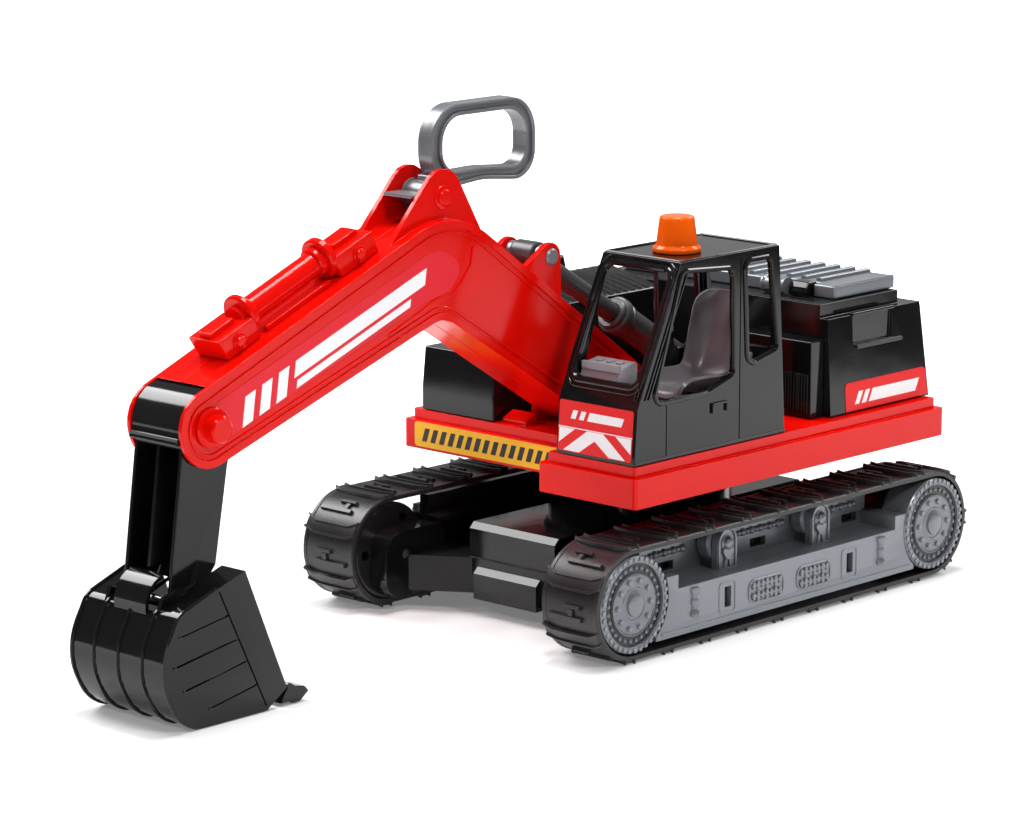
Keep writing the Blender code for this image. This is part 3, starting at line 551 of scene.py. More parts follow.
def belt(side, label):
    strip = bmesh.new()
    section = [
        (BELT_IN, BELT_INNER - BELT_OUTER), (BELT_IN, -0.7), (BELT_IN + 0.7, 0.0), (BELT_IN + 3.0, 0.0),
        (BELT_IN + 3.6, -0.5), (BELT_OUT - 3.6, -0.5), (BELT_OUT - 3.0, 0.0), (BELT_OUT - 0.7, 0.0),
        (BELT_OUT, -0.7), (BELT_OUT, BELT_INNER - BELT_OUTER),
    ]
    rings = []
    steps = 184
    for index in range(steps):
        travel = BELT_LENGTH * index / steps
        rings.append([strip.verts.new((side * x, *belt_point(travel, h))) for x, h in section])
    bridge(strip, rings)
    pitch = BELT_LENGTH / CLEATS
    blocks = bmesh.new()
    middle = (BELT_IN + BELT_OUT) / 2
    for index in range(CLEATS):
        here = index * pitch
        belt_block(blocks, side, here - 4.6, here + 4.6, BELT_IN + 0.6, BELT_OUT - 0.6, 1.15, -3.4, along=4)
        for edge in (-4.9, 3.2):
            belt_block(blocks, side, here + edge, here + edge + 1.8, BELT_IN, BELT_OUT, 2.3, -3.4, along=1)
        half = here + pitch / 2
        shift = 3.0 if index % 2 else -3.0
        belt_block(blocks, side, half + 2.2, half + 5.4, middle - shift - 14, middle - shift + 14, 1.7)
        belt_block(blocks, side, half - 5.2, half - 2.4, middle + shift - 7, middle + shift + 7, 1.7)
        belt_block(blocks, side, half - 2.6, half + 2.4, middle + shift - 3, middle + shift + 1, 1.2)
    whole = outward(together(strip, blocks))
    stand_in(f"track_belt_{label}", whole, f"belt_{label}", smooth=35)


def wheel_face(side, end, label, place):
    """Grey sprocket wheel: notched rim, dark ring with balls, bolted disc and domed hub."""
    face = WHEEL_FACE
    centre = Vector((0, end * WHEEL_Y, WHEEL_Z))
    out = (side, 0, 0)

    def around(count, start=0.0):
        """Unit directions in the wheel's plane."""
        angles = [2 * math.pi * (index + start) / count for index in range(count)]
        return [Vector((0, math.cos(angle), math.sin(angle))) for angle in angles]

    profile = [
        (0, face + 1.9), (5.8, face + 1.7), (7.2, face + 1.0), (7.5, face - 0.4), (9.4, face - 0.8),
        (10.0, face - 0.4), (11.0, face - 0.4), (11.6, face - 0.8), (18.6, face - 0.8),
        (19.6, face - 0.2), (20.2, face - 0.5), (20.6, face - 2.2), (26.6, face - 2.2), (26.9, face - 0.2),
        (27.5, face + 0.2), (30.3, face - 0.2), (31.4, face - 1.4), (31.4, 109.3), (3.3, 109.3),
        (3.3, 127.0), (0, 127.0),
    ]
    solids = [turned(profile, centre, out, 96)]
    for way in around(36):
        tooth_plane = basis(way.cross(Vector((1, 0, 0))), way, out, centre + way * 29.4)
        solids.append(slab([(-1.5, -1.1), (1.5, -1.1), (1.2, 1.5), (-1.2, 1.5)], tooth_plane,
                           face - 0.8, face + 0.75, 0.25, 1))
    for way in around(28, 0.5):
        solids.append(ball(centre + way * 23.6 + Vector((side * (face - 1.7), 0, 0)), 1.45, 0.8, out))
    bolt = [(0, face + 1.0), (1.4, face + 0.9), (1.9, face + 0.2), (2.0, face - 1.2)]
    for way in around(10):
        solids.append(turned(bolt, centre + way * 15.6, out, 14))
    stand_in(f"wheel_face_{place}_{label}", together(*solids), f"wheel_rim_{place}_{label}", smooth=28)
    ring = [(20.7, face - 1.9), (20.7, face - 2.6), (26.5, face - 2.6), (26.5, face - 1.9)]
    piece(f"wheel_ring_{place}_{label}", turned(ring, centre, out, 96), f"wheel_{place}_{label}",
          SATIN_BLACK)
    drum_profile = [
        (32.4, 109.0), (32.4, 86.4), (31.6, 85.2), (29.5, 84.8), (14, 84.8), (12, 86.2), (3.3, 86.2),
        (3.3, 109.0),
    ]
    holes = []
    for way in around(3, 0.5):
        spot = centre + way * 23.5
        holes.append(cross_rod(spot.yz, side * 80, side * 96, 3.6, 28))
    drum = soften(carved(turned(drum_profile, centre, out, 96), *holes), 0.5)
    stand_in(f"wheel_inner_{place}_{label}", drum, f"wheel_drum_{place}_{label}", SATIN_BLACK)


def oval_vent(side, centre):
    """An oval grille: a raised edge and two rows of hooped bars."""
    face = FRAME_FACE
    edge = rectangle(centre - 18, centre + 18, VENT_Z - 8, VENT_Z + 8, 6, 15)
    solids = [ridge(edge, 1.3, "X", side * (face - 0.5), side * (face + 0.9), side * 0.4)]
    for z in (VENT_Z - 3.6, VENT_Z + 3.6):
        solids.append(rod((side * (face + 0.4), centre - 15, z), (side * (face + 0.4), centre + 15, z), 1.1))
        for index in range(7):
            y = centre - 13.2 + 4.4 * index
            tall = 3.1 if index % 2 else 2.2
            low, high = (side * (face - 0.6), y - 1.25, z - tall), (side * (face + 1.6), y + 1.25, z + tall)
            solids.append(box(low, high, 0.6))
    return solids


def turned_post(side, y):
    low, high = BENCH_TOP - 21, BENCH_TOP - 2
    middle = (low + high) / 2
    profile = [
        (0, low), (3.2, low), (3.8, low + 0.8), (3.8, low + 3.0), (2.7, low + 3.8), (2.6, middle - 2.2),
        (3.3, middle - 1.6), (3.3, middle + 1.6), (2.6, middle + 2.2), (2.7, high - 3.8), (3.8, high - 3.0),
        (3.8, high - 0.8), (3.2, high), (0, high),
    ]
    return turned(profile, (side * (FRAME_FACE - 0.4), y, 0), (0, 0, 1), 24)


def chain_relief(side, start, links):
    """A moulded chain on the panel: flat links on a thin cord, and a slack end."""
    pitch, z = 4.5, 56.0
    x = side * (PANEL_FACE + 0.2)
    solids = [
        rod((x, start, z), (x, start + pitch * links, z), 0.9, sides=12),
    ]
    for index in range(links):
        spot = (side * (PANEL_FACE + 0.3), start + pitch * (index + 0.5), z)
        solids.append(ball(spot, 2.7 if index % 2 else 2.1, 0.8, (side, 0, 0)))
    slack = (side * PANEL_FACE, start - 8, z + 1.4), (side * PANEL_FACE, start, z + 0.1)
    return solids + [rod(*slack, 1.0, sides=12)]


def bracket_relief(side, y):
    """A roller bracket's raised edge, hub cap and clip with two legs."""
    outline = rounded([(y - 9.0, 40, 0), (y - 9.0, 67.6, 8.8), (y + 9.0, 67.6, 8.8), (y + 9.0, 40, 0)], 12)
    hub = [(0, 120.4), (3.0, 120.3), (3.9, 119.4), (4.1, 117.6), (5.6, 117.6), (5.8, 116.6), (0, 116.6)]
    clip = [
        (y - 5.6, 52.0), (y - 4.8, 54.6), (y + 4.8, 54.6), (y + 5.6, 52.0), (y + 1.6, 46.4), (y - 1.6, 46.4),
    ]
    solids = [
        ridge(outline, 1.4, "X", side * 116.6, side * 118.4, side * 0.4),
        turned(hub, (0, y, ROLLER_Z), (side, 0, 0), 28),
        slab(clip, "X", side * 116.8, side * 119.0, 0.6),
    ]
    for foot in (-4.6, 4.6):
        leg = [(y + foot * 0.2 - 1, 50), (y + foot * 0.2 + 1, 50), (y + foot + 1, 34), (y + foot - 1, 34)]
        solids.append(slab(leg, "X", side * 116.8, side * 118.6, 0.5))
    return solids


def side_frame(side, label):
    face = FRAME_FACE
    extras = []
    for centre in (-24.5, 24.5):
        extras += oval_vent(side, centre)
    for y in (-SLOT_Y, SLOT_Y):
        outline = rectangle(y - 9, y + 7.5, SLOT_LOW - 4, SLOT_LOW + 17, 3, 30)
        extras.append(ridge(outline, 0.9, "X", side * (face - 0.5), side * (face + 0.6), side * 0.3))
    for y in (-96, 96):
        extras.append(turned_post(side, y))
    for y in (-ROLLER_Y, ROLLER_Y):
        extras += bracket_relief(side, y)
    for start, links in ((-108, 8), (-20, 11), (74, 7)):
        extras += chain_relief(side, start, links)
    rail = rectangle(-128, 128, 12.6, 14.2)
    extras.append(slab(rail, "X", side * (face - 0.5), side * (face + 0.7), 0.3))
    refined(f"side_frame_{label}", 0.9, 3, adds=extras)
    # Near-black sheets set just inside the slot openings: painted shade for the insides of the slots.
    shade_sheets = [
        box((side * 126.9, y - 3.6, SLOT_LOW - 0.4), (side * 127.5, y + 3.6, SLOT_LOW + 13.8), 0.1, 1)
        for y in (-SLOT_Y, SLOT_Y)
    ]
    piece(f"slot_liners_{label}", together(*shade_sheets), "undercarriage", SATIN_BLACK)


def roller(side, end, label, place):
    profile = [
        (10.2, 112.0), (12.6, 111.6), (13.2, 110.6), (13.2, 103.0), (12.6, 102.0), (10.2, 101.6),
        (9.4, 102.6), (3.3, 102.6), (3.3, 111.0), (9.4, 111.0),
    ]
    wheel = turned(profile, (0, end * ROLLER_Y, ROLLER_Z), (side, 0, 0), 56)
    stand_in(f"roller_wheel_{place}_{label}", wheel, f"roller_{place}_{label}", smooth=28)


def tracks():
    for side, label in SIDES:
        belt(side, label)
        side_frame(side, label)
        for end, place in ENDS:
            wheel_face(side, end, label, place)
            roller(side, end, label, place)
            refined(f"axle_{place}_{label}", 0.4)


# ---------------------------------------------------------------- chassis, deck and what stands on it

def undercarriage():
    refined("chassis", 1.0, 3)
    profile = [
        (0, 82.0), (63.5, 82.0), (65.6, 81.2), (66.0, 79.6), (66.0, 76.6), (65.4, 75.0), (63.8, 74.3),
        (6.4, 74.3), (6.4, 80), (0, 80),
    ]
    stand_in("turntable_ring", turned(profile, (0, 0, 0), (0, 0, 1), 128), "turntable")
    refined("slew_pin", 0.5)


def deck():
    refined("deck", 0.9, 3)
    face = -102.7
    label = plate(rectangle(-112, 33.5, 97.4, 114.2, 2.5, 15), "Y", face - 0.35, face + 0.1)
    piece("front_label", label, "superstructure", INK_YELLOW)
    count, low, high, width, lean = 17, -107, 28, 4.4, 3.22
    pitch = (high - low) / count
    bars = []
    for index in range(count):
        start = low + pitch * index + (pitch - width) / 2
        bar = [(start, 101.2), (start + width, 101.2), (start + width + lean, 110.4), (start + lean, 110.4)]
        bars.append(plate(bar, "Y", face - 0.45, face - 0.2))
    piece("front_label_bars", together(*bars), "superstructure", INK_BLACK)


def leaning_wall(lean, y, z, out=-1):
    """Basis of a cross wall through (y, z), lean further back for each unit up; outlines in (x, z)."""
    return basis((1, 0, 0), (0, lean, 1), Vector((0, out, -out * lean)).normalized(), (0, y - z * lean, 0))


def cab():
    walls = ((117, 1), (50.5, -1))
    grooves = [
        cuboid((x - 0.9, y - 0.5, 122.6), (x + 0.9, y + 0.5, top))
        for y, top in ((-108.8, 161.0), (-36.8, 243.0)) for x, _ in walls
    ]
    door = rounded([(-120, 160.6, 5), (-93.5, 239.5, 5), (-45, 236, 5), (-43.9, 168.2, 5), (-68.6, 161, 8)])
    quarter = rounded([(-31, 239, 4), (-7.4, 239, 4), (0.2, 179, 4), (-27.8, 173, 6)])
    screen = rectangle(57, 110, 172, 240, 5)
    rear = rectangle(57, 110, 178, 238, 5)
    windscreen = leaning_wall(42 / 89.2, -137, 157.8)
    back = leaning_wall(-7.4 / 125.1, 2, 247, 1)
    trims = []
    for x, out in walls:
        for opening in (door, quarter):
            trims.append(band(inset(opening, -3.4), inset(opening, -0.2), "X", x - out * 2.4, x + out * 1.5,
                              out * 0.9))
    trims.append(band(inset(screen, -3.8), inset(screen, -0.2), windscreen, -2.4, 1.6, 0.9))
    trims.append(band(inset(screen, -6.6), inset(screen, -4.9), windscreen, -1.0, 0.8, 0.4))
    trims.append(band(inset(rear, -3.2), inset(rear, -0.2), back, -2.4, 1.4, 0.9))
    for x in (112.2, 114.6):
        trims.append(slab(rectangle(x - 0.7, x + 0.7, 163, 243.5), windscreen, -0.5, 0.9, 0.3))
    for y in (-130.0, -126.8):
        pillar = [(y, 163), (y + 1.2, 163), (y + 37.8, 241), (y + 36.6, 241)]
        trims.append(slab(pillar, "X", 116.5, 117.9, 0.3))
    trims.append(ridge(rectangle(51.0, 116.5, -94.6, 1.6, 2, 30), 2.4, "Z", 246.6, 247.9, 0.5))
    for low, high in (
        ((-65, 150.6), (-49.6, 152.0)), ((-65, 145.4), (-63.4, 151.4)), ((-51.2, 145.4), (-49.6, 151.4)),
    ):
        trims.append(box((116.6, *low), (118.6, *high), 0.4))
    sill = [(-139.6, 122.4), (9.5, 122.4), (9.2, 124.4), (-139.4, 124.4)]
    trims.append(slab(sill, "X", 116.6, 117.7, 0.3))
    refined("cab_shell", 1.1, 3, cuts=grooves, adds=trims)

    front = leaning_wall(2.5 / 35.9, -139.5, 121.9)
    label = rectangle(52.0, 114.6, 124.2, 157.0, 1.5, 30)
    piece("cab_label", plate(label, front, 0.02, 0.35), "superstructure", INK_RED)
    white = [
        [(76.5, 139.2), (90.0, 139.2), (109.5, 124.8), (96.0, 124.8), (83.2, 133.6), (70.4, 124.8),
         (56.9, 124.8)],
        [(52.8, 139.2), (66.0, 139.2), (52.8, 129.4)],
        [(100.5, 139.2), (113.8, 139.2), (113.8, 129.4)],
    ]
    marks = [plate(shape, front, 0.2, 0.48) for shape in white]
    marks.append(plate(rectangle(52.0, 114.6, 139.5, 140.1), front, 0.2, 0.5))
    for start, end in ((62, 66), (69, 73), (76, 105)):
        bar = [(start, 145.6), (end, 145.6), (end + 2, 151.2), (start + 2, 151.2)]
        marks.append(plate(bar, front, 0.2, 0.48))
    piece("cab_label_marks", together(*marks), "superstructure", INK_WHITE)


def seat():
    """A moulded bucket seat: dished cushion and a shield-shaped back with raised bolsters."""
    steps = 20
    spine = [  # y, z, half width, bolster height, and the way the bolsters face in degrees from straight up
        (-80, 153.5, 18, 2, 0), (-78.5, 157.6, 20, 5, 0), (-72, 158.4, 21.5, 8, 0), (-60, 156.2, 22, 10, 0),
        (-46, 154.6, 22, 11, 0), (-34, 155.2, 22, 10, 10), (-26, 159, 22, 10, 35), (-21, 167, 22, 10, 65),
        (-17, 180, 22, 10, 78), (-13.5, 193, 22, 10, 80), (-10.8, 203, 22, 10, 82), (-9.0, 210, 20.5, 9, 84),
        (-8.2, 214.5, 15, 5, 85),
    ]
    bm = bmesh.new()
    rows = []
    for y, z, half, lift, turn in spine:
        rise, ahead = math.cos(math.radians(turn)), math.sin(math.radians(turn))
        row = []
        for step in range(steps + 1):
            u = 2 * step / steps - 1
            dish = 0.8 * math.cos(u * math.pi * 0.5) if lift > 4 else 0.0
            climb = lift * max(0.0, (abs(u) - 0.35) / 0.65) ** 2.2 - dish
            row.append(bm.verts.new((85 + u * half, y - ahead * climb, z + rise * climb)))
        rows.append(row)
    for first, second in zip(rows, rows[1:]):
        for index in range(steps):
            bm.faces.new((first[index], first[index + 1], second[index + 1], second[index]))
    obj = mesh_object("seat_shell", outward(bm))
    smooth = obj.modifiers.new("Smooth", "SUBSURF")
    smooth.levels = smooth.render_levels = 2
    thick = obj.modifiers.new("Thick", "SOLIDIFY")
    thick.thickness = 2.4
    thick.offset = -1
    base = [(-62, 122.2), (-66, 151), (-24, 151), (-16, 166), (-10, 176), (-8, 176), (-8, 122.2)]
    whole = together(final_mesh(obj), slab(base, "X", 66, 104, 1.5, 3))
    stand_in("seat_moulding", whole, "seat", smooth=40)


def dashboard():
    side = rounded([(-132.6, 122.2, 0), (-132.6, 157, 2), (-121.6, 179.5, 3), (-107, 182, 2),
                    (-107, 122.2, 0)], 15)
    knob = [(0, 1.1), (2.6, 1.0), (3.0, 0.2), (3.0, -1.0)]
    solids = [slab(side, "X", 57.5, 91.5, 1.4, 3)]
    solids += [turned(knob, (x, -114.5, 180.6), (0, -0.16, 1), 24) for x in (66, 74.5, 83)]
    solids.append(box((58.5, -124.5, 176.0), (90.5, -122.0, 181.0), 0.8))
    stand_in("dashboard_moulding", together(*solids), "dashboard")


def beacon():
    bend = [math.radians(step) for step in range(0, 100, 15)]
    profile = [(0, 270.5)] + [(9.4 + 2.0 * math.sin(a), 268.5 + 2.0 * math.cos(a)) for a in bend]
    profile += [(13.4, 252.6), (13.9, 251.4), (15.2, 250.6), (15.8, 249.6), (15.8, 248.0), (15.4, 247.4),
                (0, 247.4)]
    stand_in("beacon_lamp", turned(profile, (86, -64, 0), (0, 0, 1), 96), "beacon", smooth=50)


def engine_cover():
    extras = [box((104.2, 90.6, 187.2), (109.0, 135.5, 189.4), 0.6)]
    for end in (67.5, 70.0):
        extras.append(box((-99.6, end, 196.2), (99.6, end + 1.0, 197.4), 0.3))
    extras.append(box((-101.0, 66.2, 186.6), (-99.0, 150.5, 188.6), 0.5))
    refined("engine_cover", 1.3, 3, BLACK, adds=extras)
    lean = -3.5 / 66.1
    for side, label in SIDES:
        wall = basis((0, 1, 0), (side * lean, 0, 1), (side, 0, 0), (side * (110.5 - 121.9 * lean), 0, 0))
        edge = rounded([(82, 123.2, 1), (171.6, 123.2, 1), (169.4, 142.6, 4), (82, 142.6, 3)], 20)
        piece(f"cover_label_{label}", plate(edge, wall, 0.02, 0.4), "superstructure", INK_RED)
        bars = [plate(slanted((131.6, 4.2), start, end), wall, 0.2, 0.55)
                for start, end in ((94, 98.5), (101.5, 106), (109, 160))]
        bars.append(plate(slanted((131.6, 1.0), 112, 156), wall, 0.2, 0.3))
        piece(f"cover_label_mark_{label}", together(*bars), "superstructure", INK_WHITE)


def engine_lid():
    low = 197.3
    outline = [
        (-95, 88, 3), (48, 88, 2), (48, 97, 2), (76, 97, 2), (76, 88, 2), (95, 88, 3), (95, 154, 3),
        (-95, 154, 3),
    ]
    solids = [slab(rounded(outline, 30), "Z", low, low + 8.5, 1.2, 3)]
    for index in range(13):
        x = -84 + 13.0 * index
        start = 99 if 45 < x < 79 else 91
        section = rounded([(x - 2.7, low + 8, 0), (x - 2.1, low + 11, 1.2), (x + 2.1, low + 11, 1.2),
                           (x + 2.7, low + 8, 0)], 30)
        solids.append(slab(section, "Y", start, 153, 0.7))
    for side in (-1, 1):
        solids.append(box((side * 93.2, 90, low + 7.6), (side * 94.6, 152, low + 9.3), 0.4))
    stand_in("lid_moulding", together(*solids), "engine_lid")
    refined("latch_bracket", 0.9, 3)
    refined("latch_roll", 0.5, 3)


def deck_boxes():
    fin_starts = [82.4 + 2.3 * index for index in range(9)]
    fins = [box((x, 51.6, 124.2), (x + 0.9, 53.0, 152.0), 0.3) for x in fin_starts]
    refined("vent_box", 0.9, 3, adds=fins)
    section = [(-79, 206.4), (-31, 196.6), (-31, 195.2), (-79, 204.6)]
    starts = [-45 + 7.4 * index for index in range(13)]
    refined("radiator_cover", 0.9, 2, adds=[slab(section, "Y", y, y + 2.8, 0.4) for y in starts])
    cowl = rod((-95, 20, 192.4), (-95, 20, 214), 12.0, 6.5, 4)
    stand_in("exhaust_cowl", soften(cowl, 1.0, 3), "exhaust_stack")
    refined("tool_box", 1.2, 3, adds=[box((-108, -97.2, 137.2), (-46, -95.4, 139.0), 0.5)])
    refined("ram_foot", 0.8, 2)
    refined("ram_foot_pin", 0.6)
    refined("boom_bracket", 1.0, 3)
    refined("boom_foot_pin", 0.8, 3)


# ---------------------------------------------------------------- boom and handle

BOOM_CORNERS = [
    (-443.7, 188.8, 23.2), (-204.3, 285.4, 60), (-18.1, 152.9, 17), (-39.8, 123.8, 25), (-64.9, 123.8, 8),
    (-214.4, 216.6, 20), (-427.5, 145.0, 23.2),
]


def boom():
    line = inset(rounded(BOOM_CORNERS, 6), 7.0)
    divider = [(-187.5, 257.5), (-189.2, 246.5), (-198.4, 235.6), (-206.2, 228.6), (-217.4, 229.4),
               (-236.0, 221.6), (-262.0, 211.2)]
    overlap = 0.6
    panel = rounded([(-411, 188.6, 6), (-216, 262.4, 26), (-196.5, 246, 8), (-208.5, 232.4, 4),
                     (-233, 227.2, 6), (-402, 166.4, 6)], 12)
    way = Vector((0.935, 0.355)).normalized()
    bars = [
        ((0, 8.2), 0, 9), ((0, 8.2), 15, 24), ((0, 8.2), 30, 39), ((3.6, 4.6), 47, 168),
        ((-5.6, 2.2), 45, 150),
    ]
    for side, label in SIDES:
        solids = [band(line, inset(line, 1.7), "X", side * 22.6, side * 24.0, side * 0.4)]
        for start, end in zip(divider, divider[1:]):
            along = (Vector(end) - Vector(start)).normalized() * overlap
            mark = stroke(Vector(start) - along, Vector(end) + along, 1.9)
            solids.append(slab(mark, "X", side * 22.6, side * 24.0, 0.4))
        refined(f"boom_{label}", 0.9, 3, adds=solids)
        piece(f"boom_label_{label}", plate(panel, "X", side * 22.9, side * 23.3), "boom",
              INK_CRIMSON)
        wall = basis((0, way.x, way.y), (0, -way.y, way.x), (side, 0, 0), (0, -386.0, 181.0))
        marks = [plate(slanted(middle, start, end), wall, 23.15, 23.5) for middle, start, end in bars]
        piece(f"boom_label_mark_{label}", together(*marks), "boom", INK_WHITE)


def boom_pins():
    """Pins across the boom, with the same head or heads on both ends."""
    arm_head = [
        (0, 33.8), (7.0, 33.8), (8.5, 32.6), (8.7, 26.4), (11.4, 26.0), (12.4, 25.0), (12.4, 23.6), (0, 23.6),
    ]
    handle_head = [
        (0, 20.0), (4.3, 19.9), (5.4, 19.0), (5.5, 17.8), (7.4, 17.6), (7.8, 17.0), (7.8, 16.2), (0, 16.2),
    ]
    ram_head = [(0, 21.8), (4.4, 21.7), (5.5, 20.9), (5.5, 19.8), (0, 19.8)]
    ram_collar = [(0, 15.2), (6.2, 15.2), (7.0, 14.4), (7.0, 11.2), (6.2, 10.4), (0, 10.4)]
    for name, reach, radius, heads in (
        ("arm_pin", 24.2, 6.0, [(arm_head, 48)]),
        ("handle_pin", 16.5, 3.5, [(handle_head, 48)]),
        ("ram_top_pin", 20.3, 4.0, [(ram_head, 48), (ram_collar, 40)]),
    ):
        centre = pin_middle(name)
        solids = [cross_rod(centre, -reach, reach, radius)]
        for profile, sides in heads:
            solids += [turned(profile, (0, *centre), (side, 0, 0), sides) for side in (-1, 1)]
        stand_in(f"{name}_turned", together(*solids), name)


def along_boom(travel, height):
    start = Vector(BOOM_CORNERS[0][:2])
    way = (Vector(BOOM_CORNERS[1][:2]) - start).normalized()
    return start + way * travel + Vector((-way.y, way.x)) * height


def dummy_ram():
    """The moulded jack on the boom's front: two blocks, two collars, a cylinder and its rails."""
    def block(low, high, top, half):
        corners = [(low, 0.3), (low - 3, top), (high - 1, top), (high, 0.3)]
        return slab([along_boom(*corner) for corner in corners], "X", -half, half, 1.0, 3)

    def sleeve(low, high, radius, edge):
        centre = (0, *along_boom(low, 12.8))
        way = along_boom(1, 0) - along_boom(0, 0)
        long = high - low
        profile = [
            (0, long), (radius - edge, long), (radius, long - edge), (radius, edge), (radius - edge, 0),
            (0, 0),
        ]
        return turned(profile, centre, (0, *way), 56)

    solids = [
        block(59.5, 89, 14.5, 13.6), block(163, 197, 14.8, 13.6), block(61.5, 80, 18.2, 6.0),
        block(172, 192, 18.4, 6.0), sleeve(84, 168, 8.0, 0.3), sleeve(87.5, 92.5, 13.6, 1.2),
        sleeve(158.5, 164.5, 13.6, 1.2), sleeve(92, 96, 9.8, 1.0), sleeve(153, 159, 9.8, 1.0),
    ]
    rail = [along_boom(*spot) for spot in ((96, 0.3), (96, 3.4), (154, 3.4), (154, 0.3))]
    screw = [(0, 13.0), (5.4, 13.0), (5.4, 14.4), (4.6, 14.8), (4.0, 14.4), (3.6, 15.4), (2.8, 16.0),
             (0, 16.1)]
    for side in (-1, 1):
        solids.append(slab(rail, "X", side * 9.2, side * 12.4, 0.8, 3))
        for travel in (72, 181):
            solids.append(turned(screw, (0, *along_boom(travel, 6.8)), (side, 0, 0), 32))
    whole = together(*solids)
    foot = along_boom(20, 0.25)
    down = (along_boom(20, -16) - foot).normalized()
    bmesh.ops.bisect_plane(
        whole, geom=list(whole.verts) + list(whole.edges) + list(whole.faces),
        plane_co=(0, *foot), plane_no=(0, *down), clear_outer=True,
    )
    bmesh.ops.holes_fill(whole, edges=[edge for edge in whole.edges if len(edge.link_faces) == 1])
    stand_in("jack_moulding", whole, "dummy_ram")


def handle():
    """The grip lever: a ring with a channel in each side face, a stem and a hub."""
    outer = rounded([(-207, 292, 22), (-207, 346.3, 24), (-111, 346.3, 24), (-111, 291, 18),
                     (-160, 296, 60)], 6)
    inner = rounded([(-196.5, 303.2, 14), (-196.5, 338.6, 17), (-119.9, 338.6, 17), (-119.9, 301, 12),
                     (-160, 304, 60)], 6)
    core = carved(plate(outer, "X", -3.9, 3.9), plate(inner, "X", -10, 10))
    stem = plate([(-213, 284), (-207.3, 303), (-197.5, 303), (-194.5, 297), (-199, 284)], "X", -6.0, 6.0)
    solids = [soften(core, 0.8), soften(stem, 1.0, 3)]
    for side in (-1, 1):
        solids.append(band(outer, inset(outer, 2.5), "X", side * 3.4, side * 6.2, side * 0.6))
        solids.append(band(inset(inner, -2.3), inner, "X", side * 3.4, side * 6.2, side * 0.6))
    centre = pivot("handle_swing")
    hub = [(0, 12.4), (8.2, 12.4), (9.0, 11.6), (9.0, -11.6), (8.2, -12.4), (0, -12.4)]
    solids.append(turned(hub, (0, *centre), (1, 0, 0), 48))
    for x in (-9.4, 9.4):
        collar = [(9.9, x + 0.9), (9.9, x - 0.9), (8.5, x - 0.9), (8.5, x + 0.9)]
        solids.append(turned(collar, (0, *centre), (1, 0, 0), 48))
    y, z = centre
    solids.append(box((-12.4, y - 24, z + 1), (12.4, y - 6, z + 3), 0.6))
    solids.append(box((2.5, y - 4, z - 21.4), (5.5, y + 4, z), 0.5))
    stand_in("handle_moulding", together(*solids), "handle", HANDLE_GREY)
    refined("push_rod", 0.5)


def ram():
    top, foot = (Vector((0, *pin_middle(pin))) for pin in ("ram_top_pin", "ram_foot_pin"))
    way = (foot - top).normalized()
    long = (foot - top).length
    barrel = [
        (7.2, 172.7), (8.0, 178.0), (8.0, long - 2), (10.8, long - 6), (10.8, 154), (11.4, 153.4),
        (11.4, 150.6), (10.8, 150), (10.8, 108.8), (11.9, 108.0), (11.9, 106.2), (11.2, 105.6),
        (11.2, 103.4), (12.4, 102.8),
        (13.0, 102.0), (13.0, 98.2), (12.4, 97.4), (10.8, 97.0), (10.8, 94.8), (10.0, 94.0), (7.2, 94.0),
    ]
    eye = [(4.3, 10), (9.9, 10), (10.8, 9.1), (10.8, -9.1), (9.9, -10), (4.3, -10)]
    tube = together(turned(barrel, top, way, 72), turned(eye, foot, (1, 0, 0), 56))
    stand_in("ram_tube", tube, "ram_barrel")
    shaft = [(0, 138.0), (6.0, 138.0), (6.7, 137.2), (6.7, 16.0), (7.6, 15.0), (7.6, 9.5), (6.4, 7.0),
             (0, 7.0)]
    ring = [(6.2, 9), (7.9, 9), (8.6, 8.3), (8.6, -8.3), (7.9, -9), (6.2, -9)]
    stand_in("ram_shaft", together(turned(shaft, top, way, 64), turned(ring, top, (1, 0, 0), 56)), "ram_rod")


# ---------------------------------------------------------------- arm and bucket

def arm():
    y, z = pivot("arm_swing")
    disc = [(12.5, 21.1), (23.0, 21.1), (23.0, 20.5), (12.5, 20.5)]
    edge = [(-433.4, 168), (-445.4, 79), (-444.0, 79), (-432.0, 168)]
    extras = []
    for side in (-1, 1):
        extras.append(turned(disc, (0, y, z), (side, 0, 0), 64))
        extras.append(slab(edge, "X", side * 18.6, side * 20.9, 0.4))
    lip = [(y - 26.3, z - 7.4), (y - 24.6, z - 3.6), (y - 22.4, z - 3.8), (y - 22.6, z - 8.4)]
    extras.append(slab(lip, "X", -20.8, 20.8, 0.6, 3))
    web = [(-417, 92), (-411, 92), (-418.5, 80), (-421.5, 82.5)]
    extras.append(slab(web, "X", -15.8, 15.8, 0.3))
    refined("arm", 0.8, 3, adds=extras)
    refined("bucket_pin", 0.8, 3)


BUCKET_HALF = 42.0
BUCKET_CORNERS = [
    (-404, 90, 0), (-426, 83, 4), (-457, 71.5, 12), (-474.5, 40, 38), (-455, 0.3, 30), (-388, 0.3, 6),
    (-371, 11.5, 0),
]


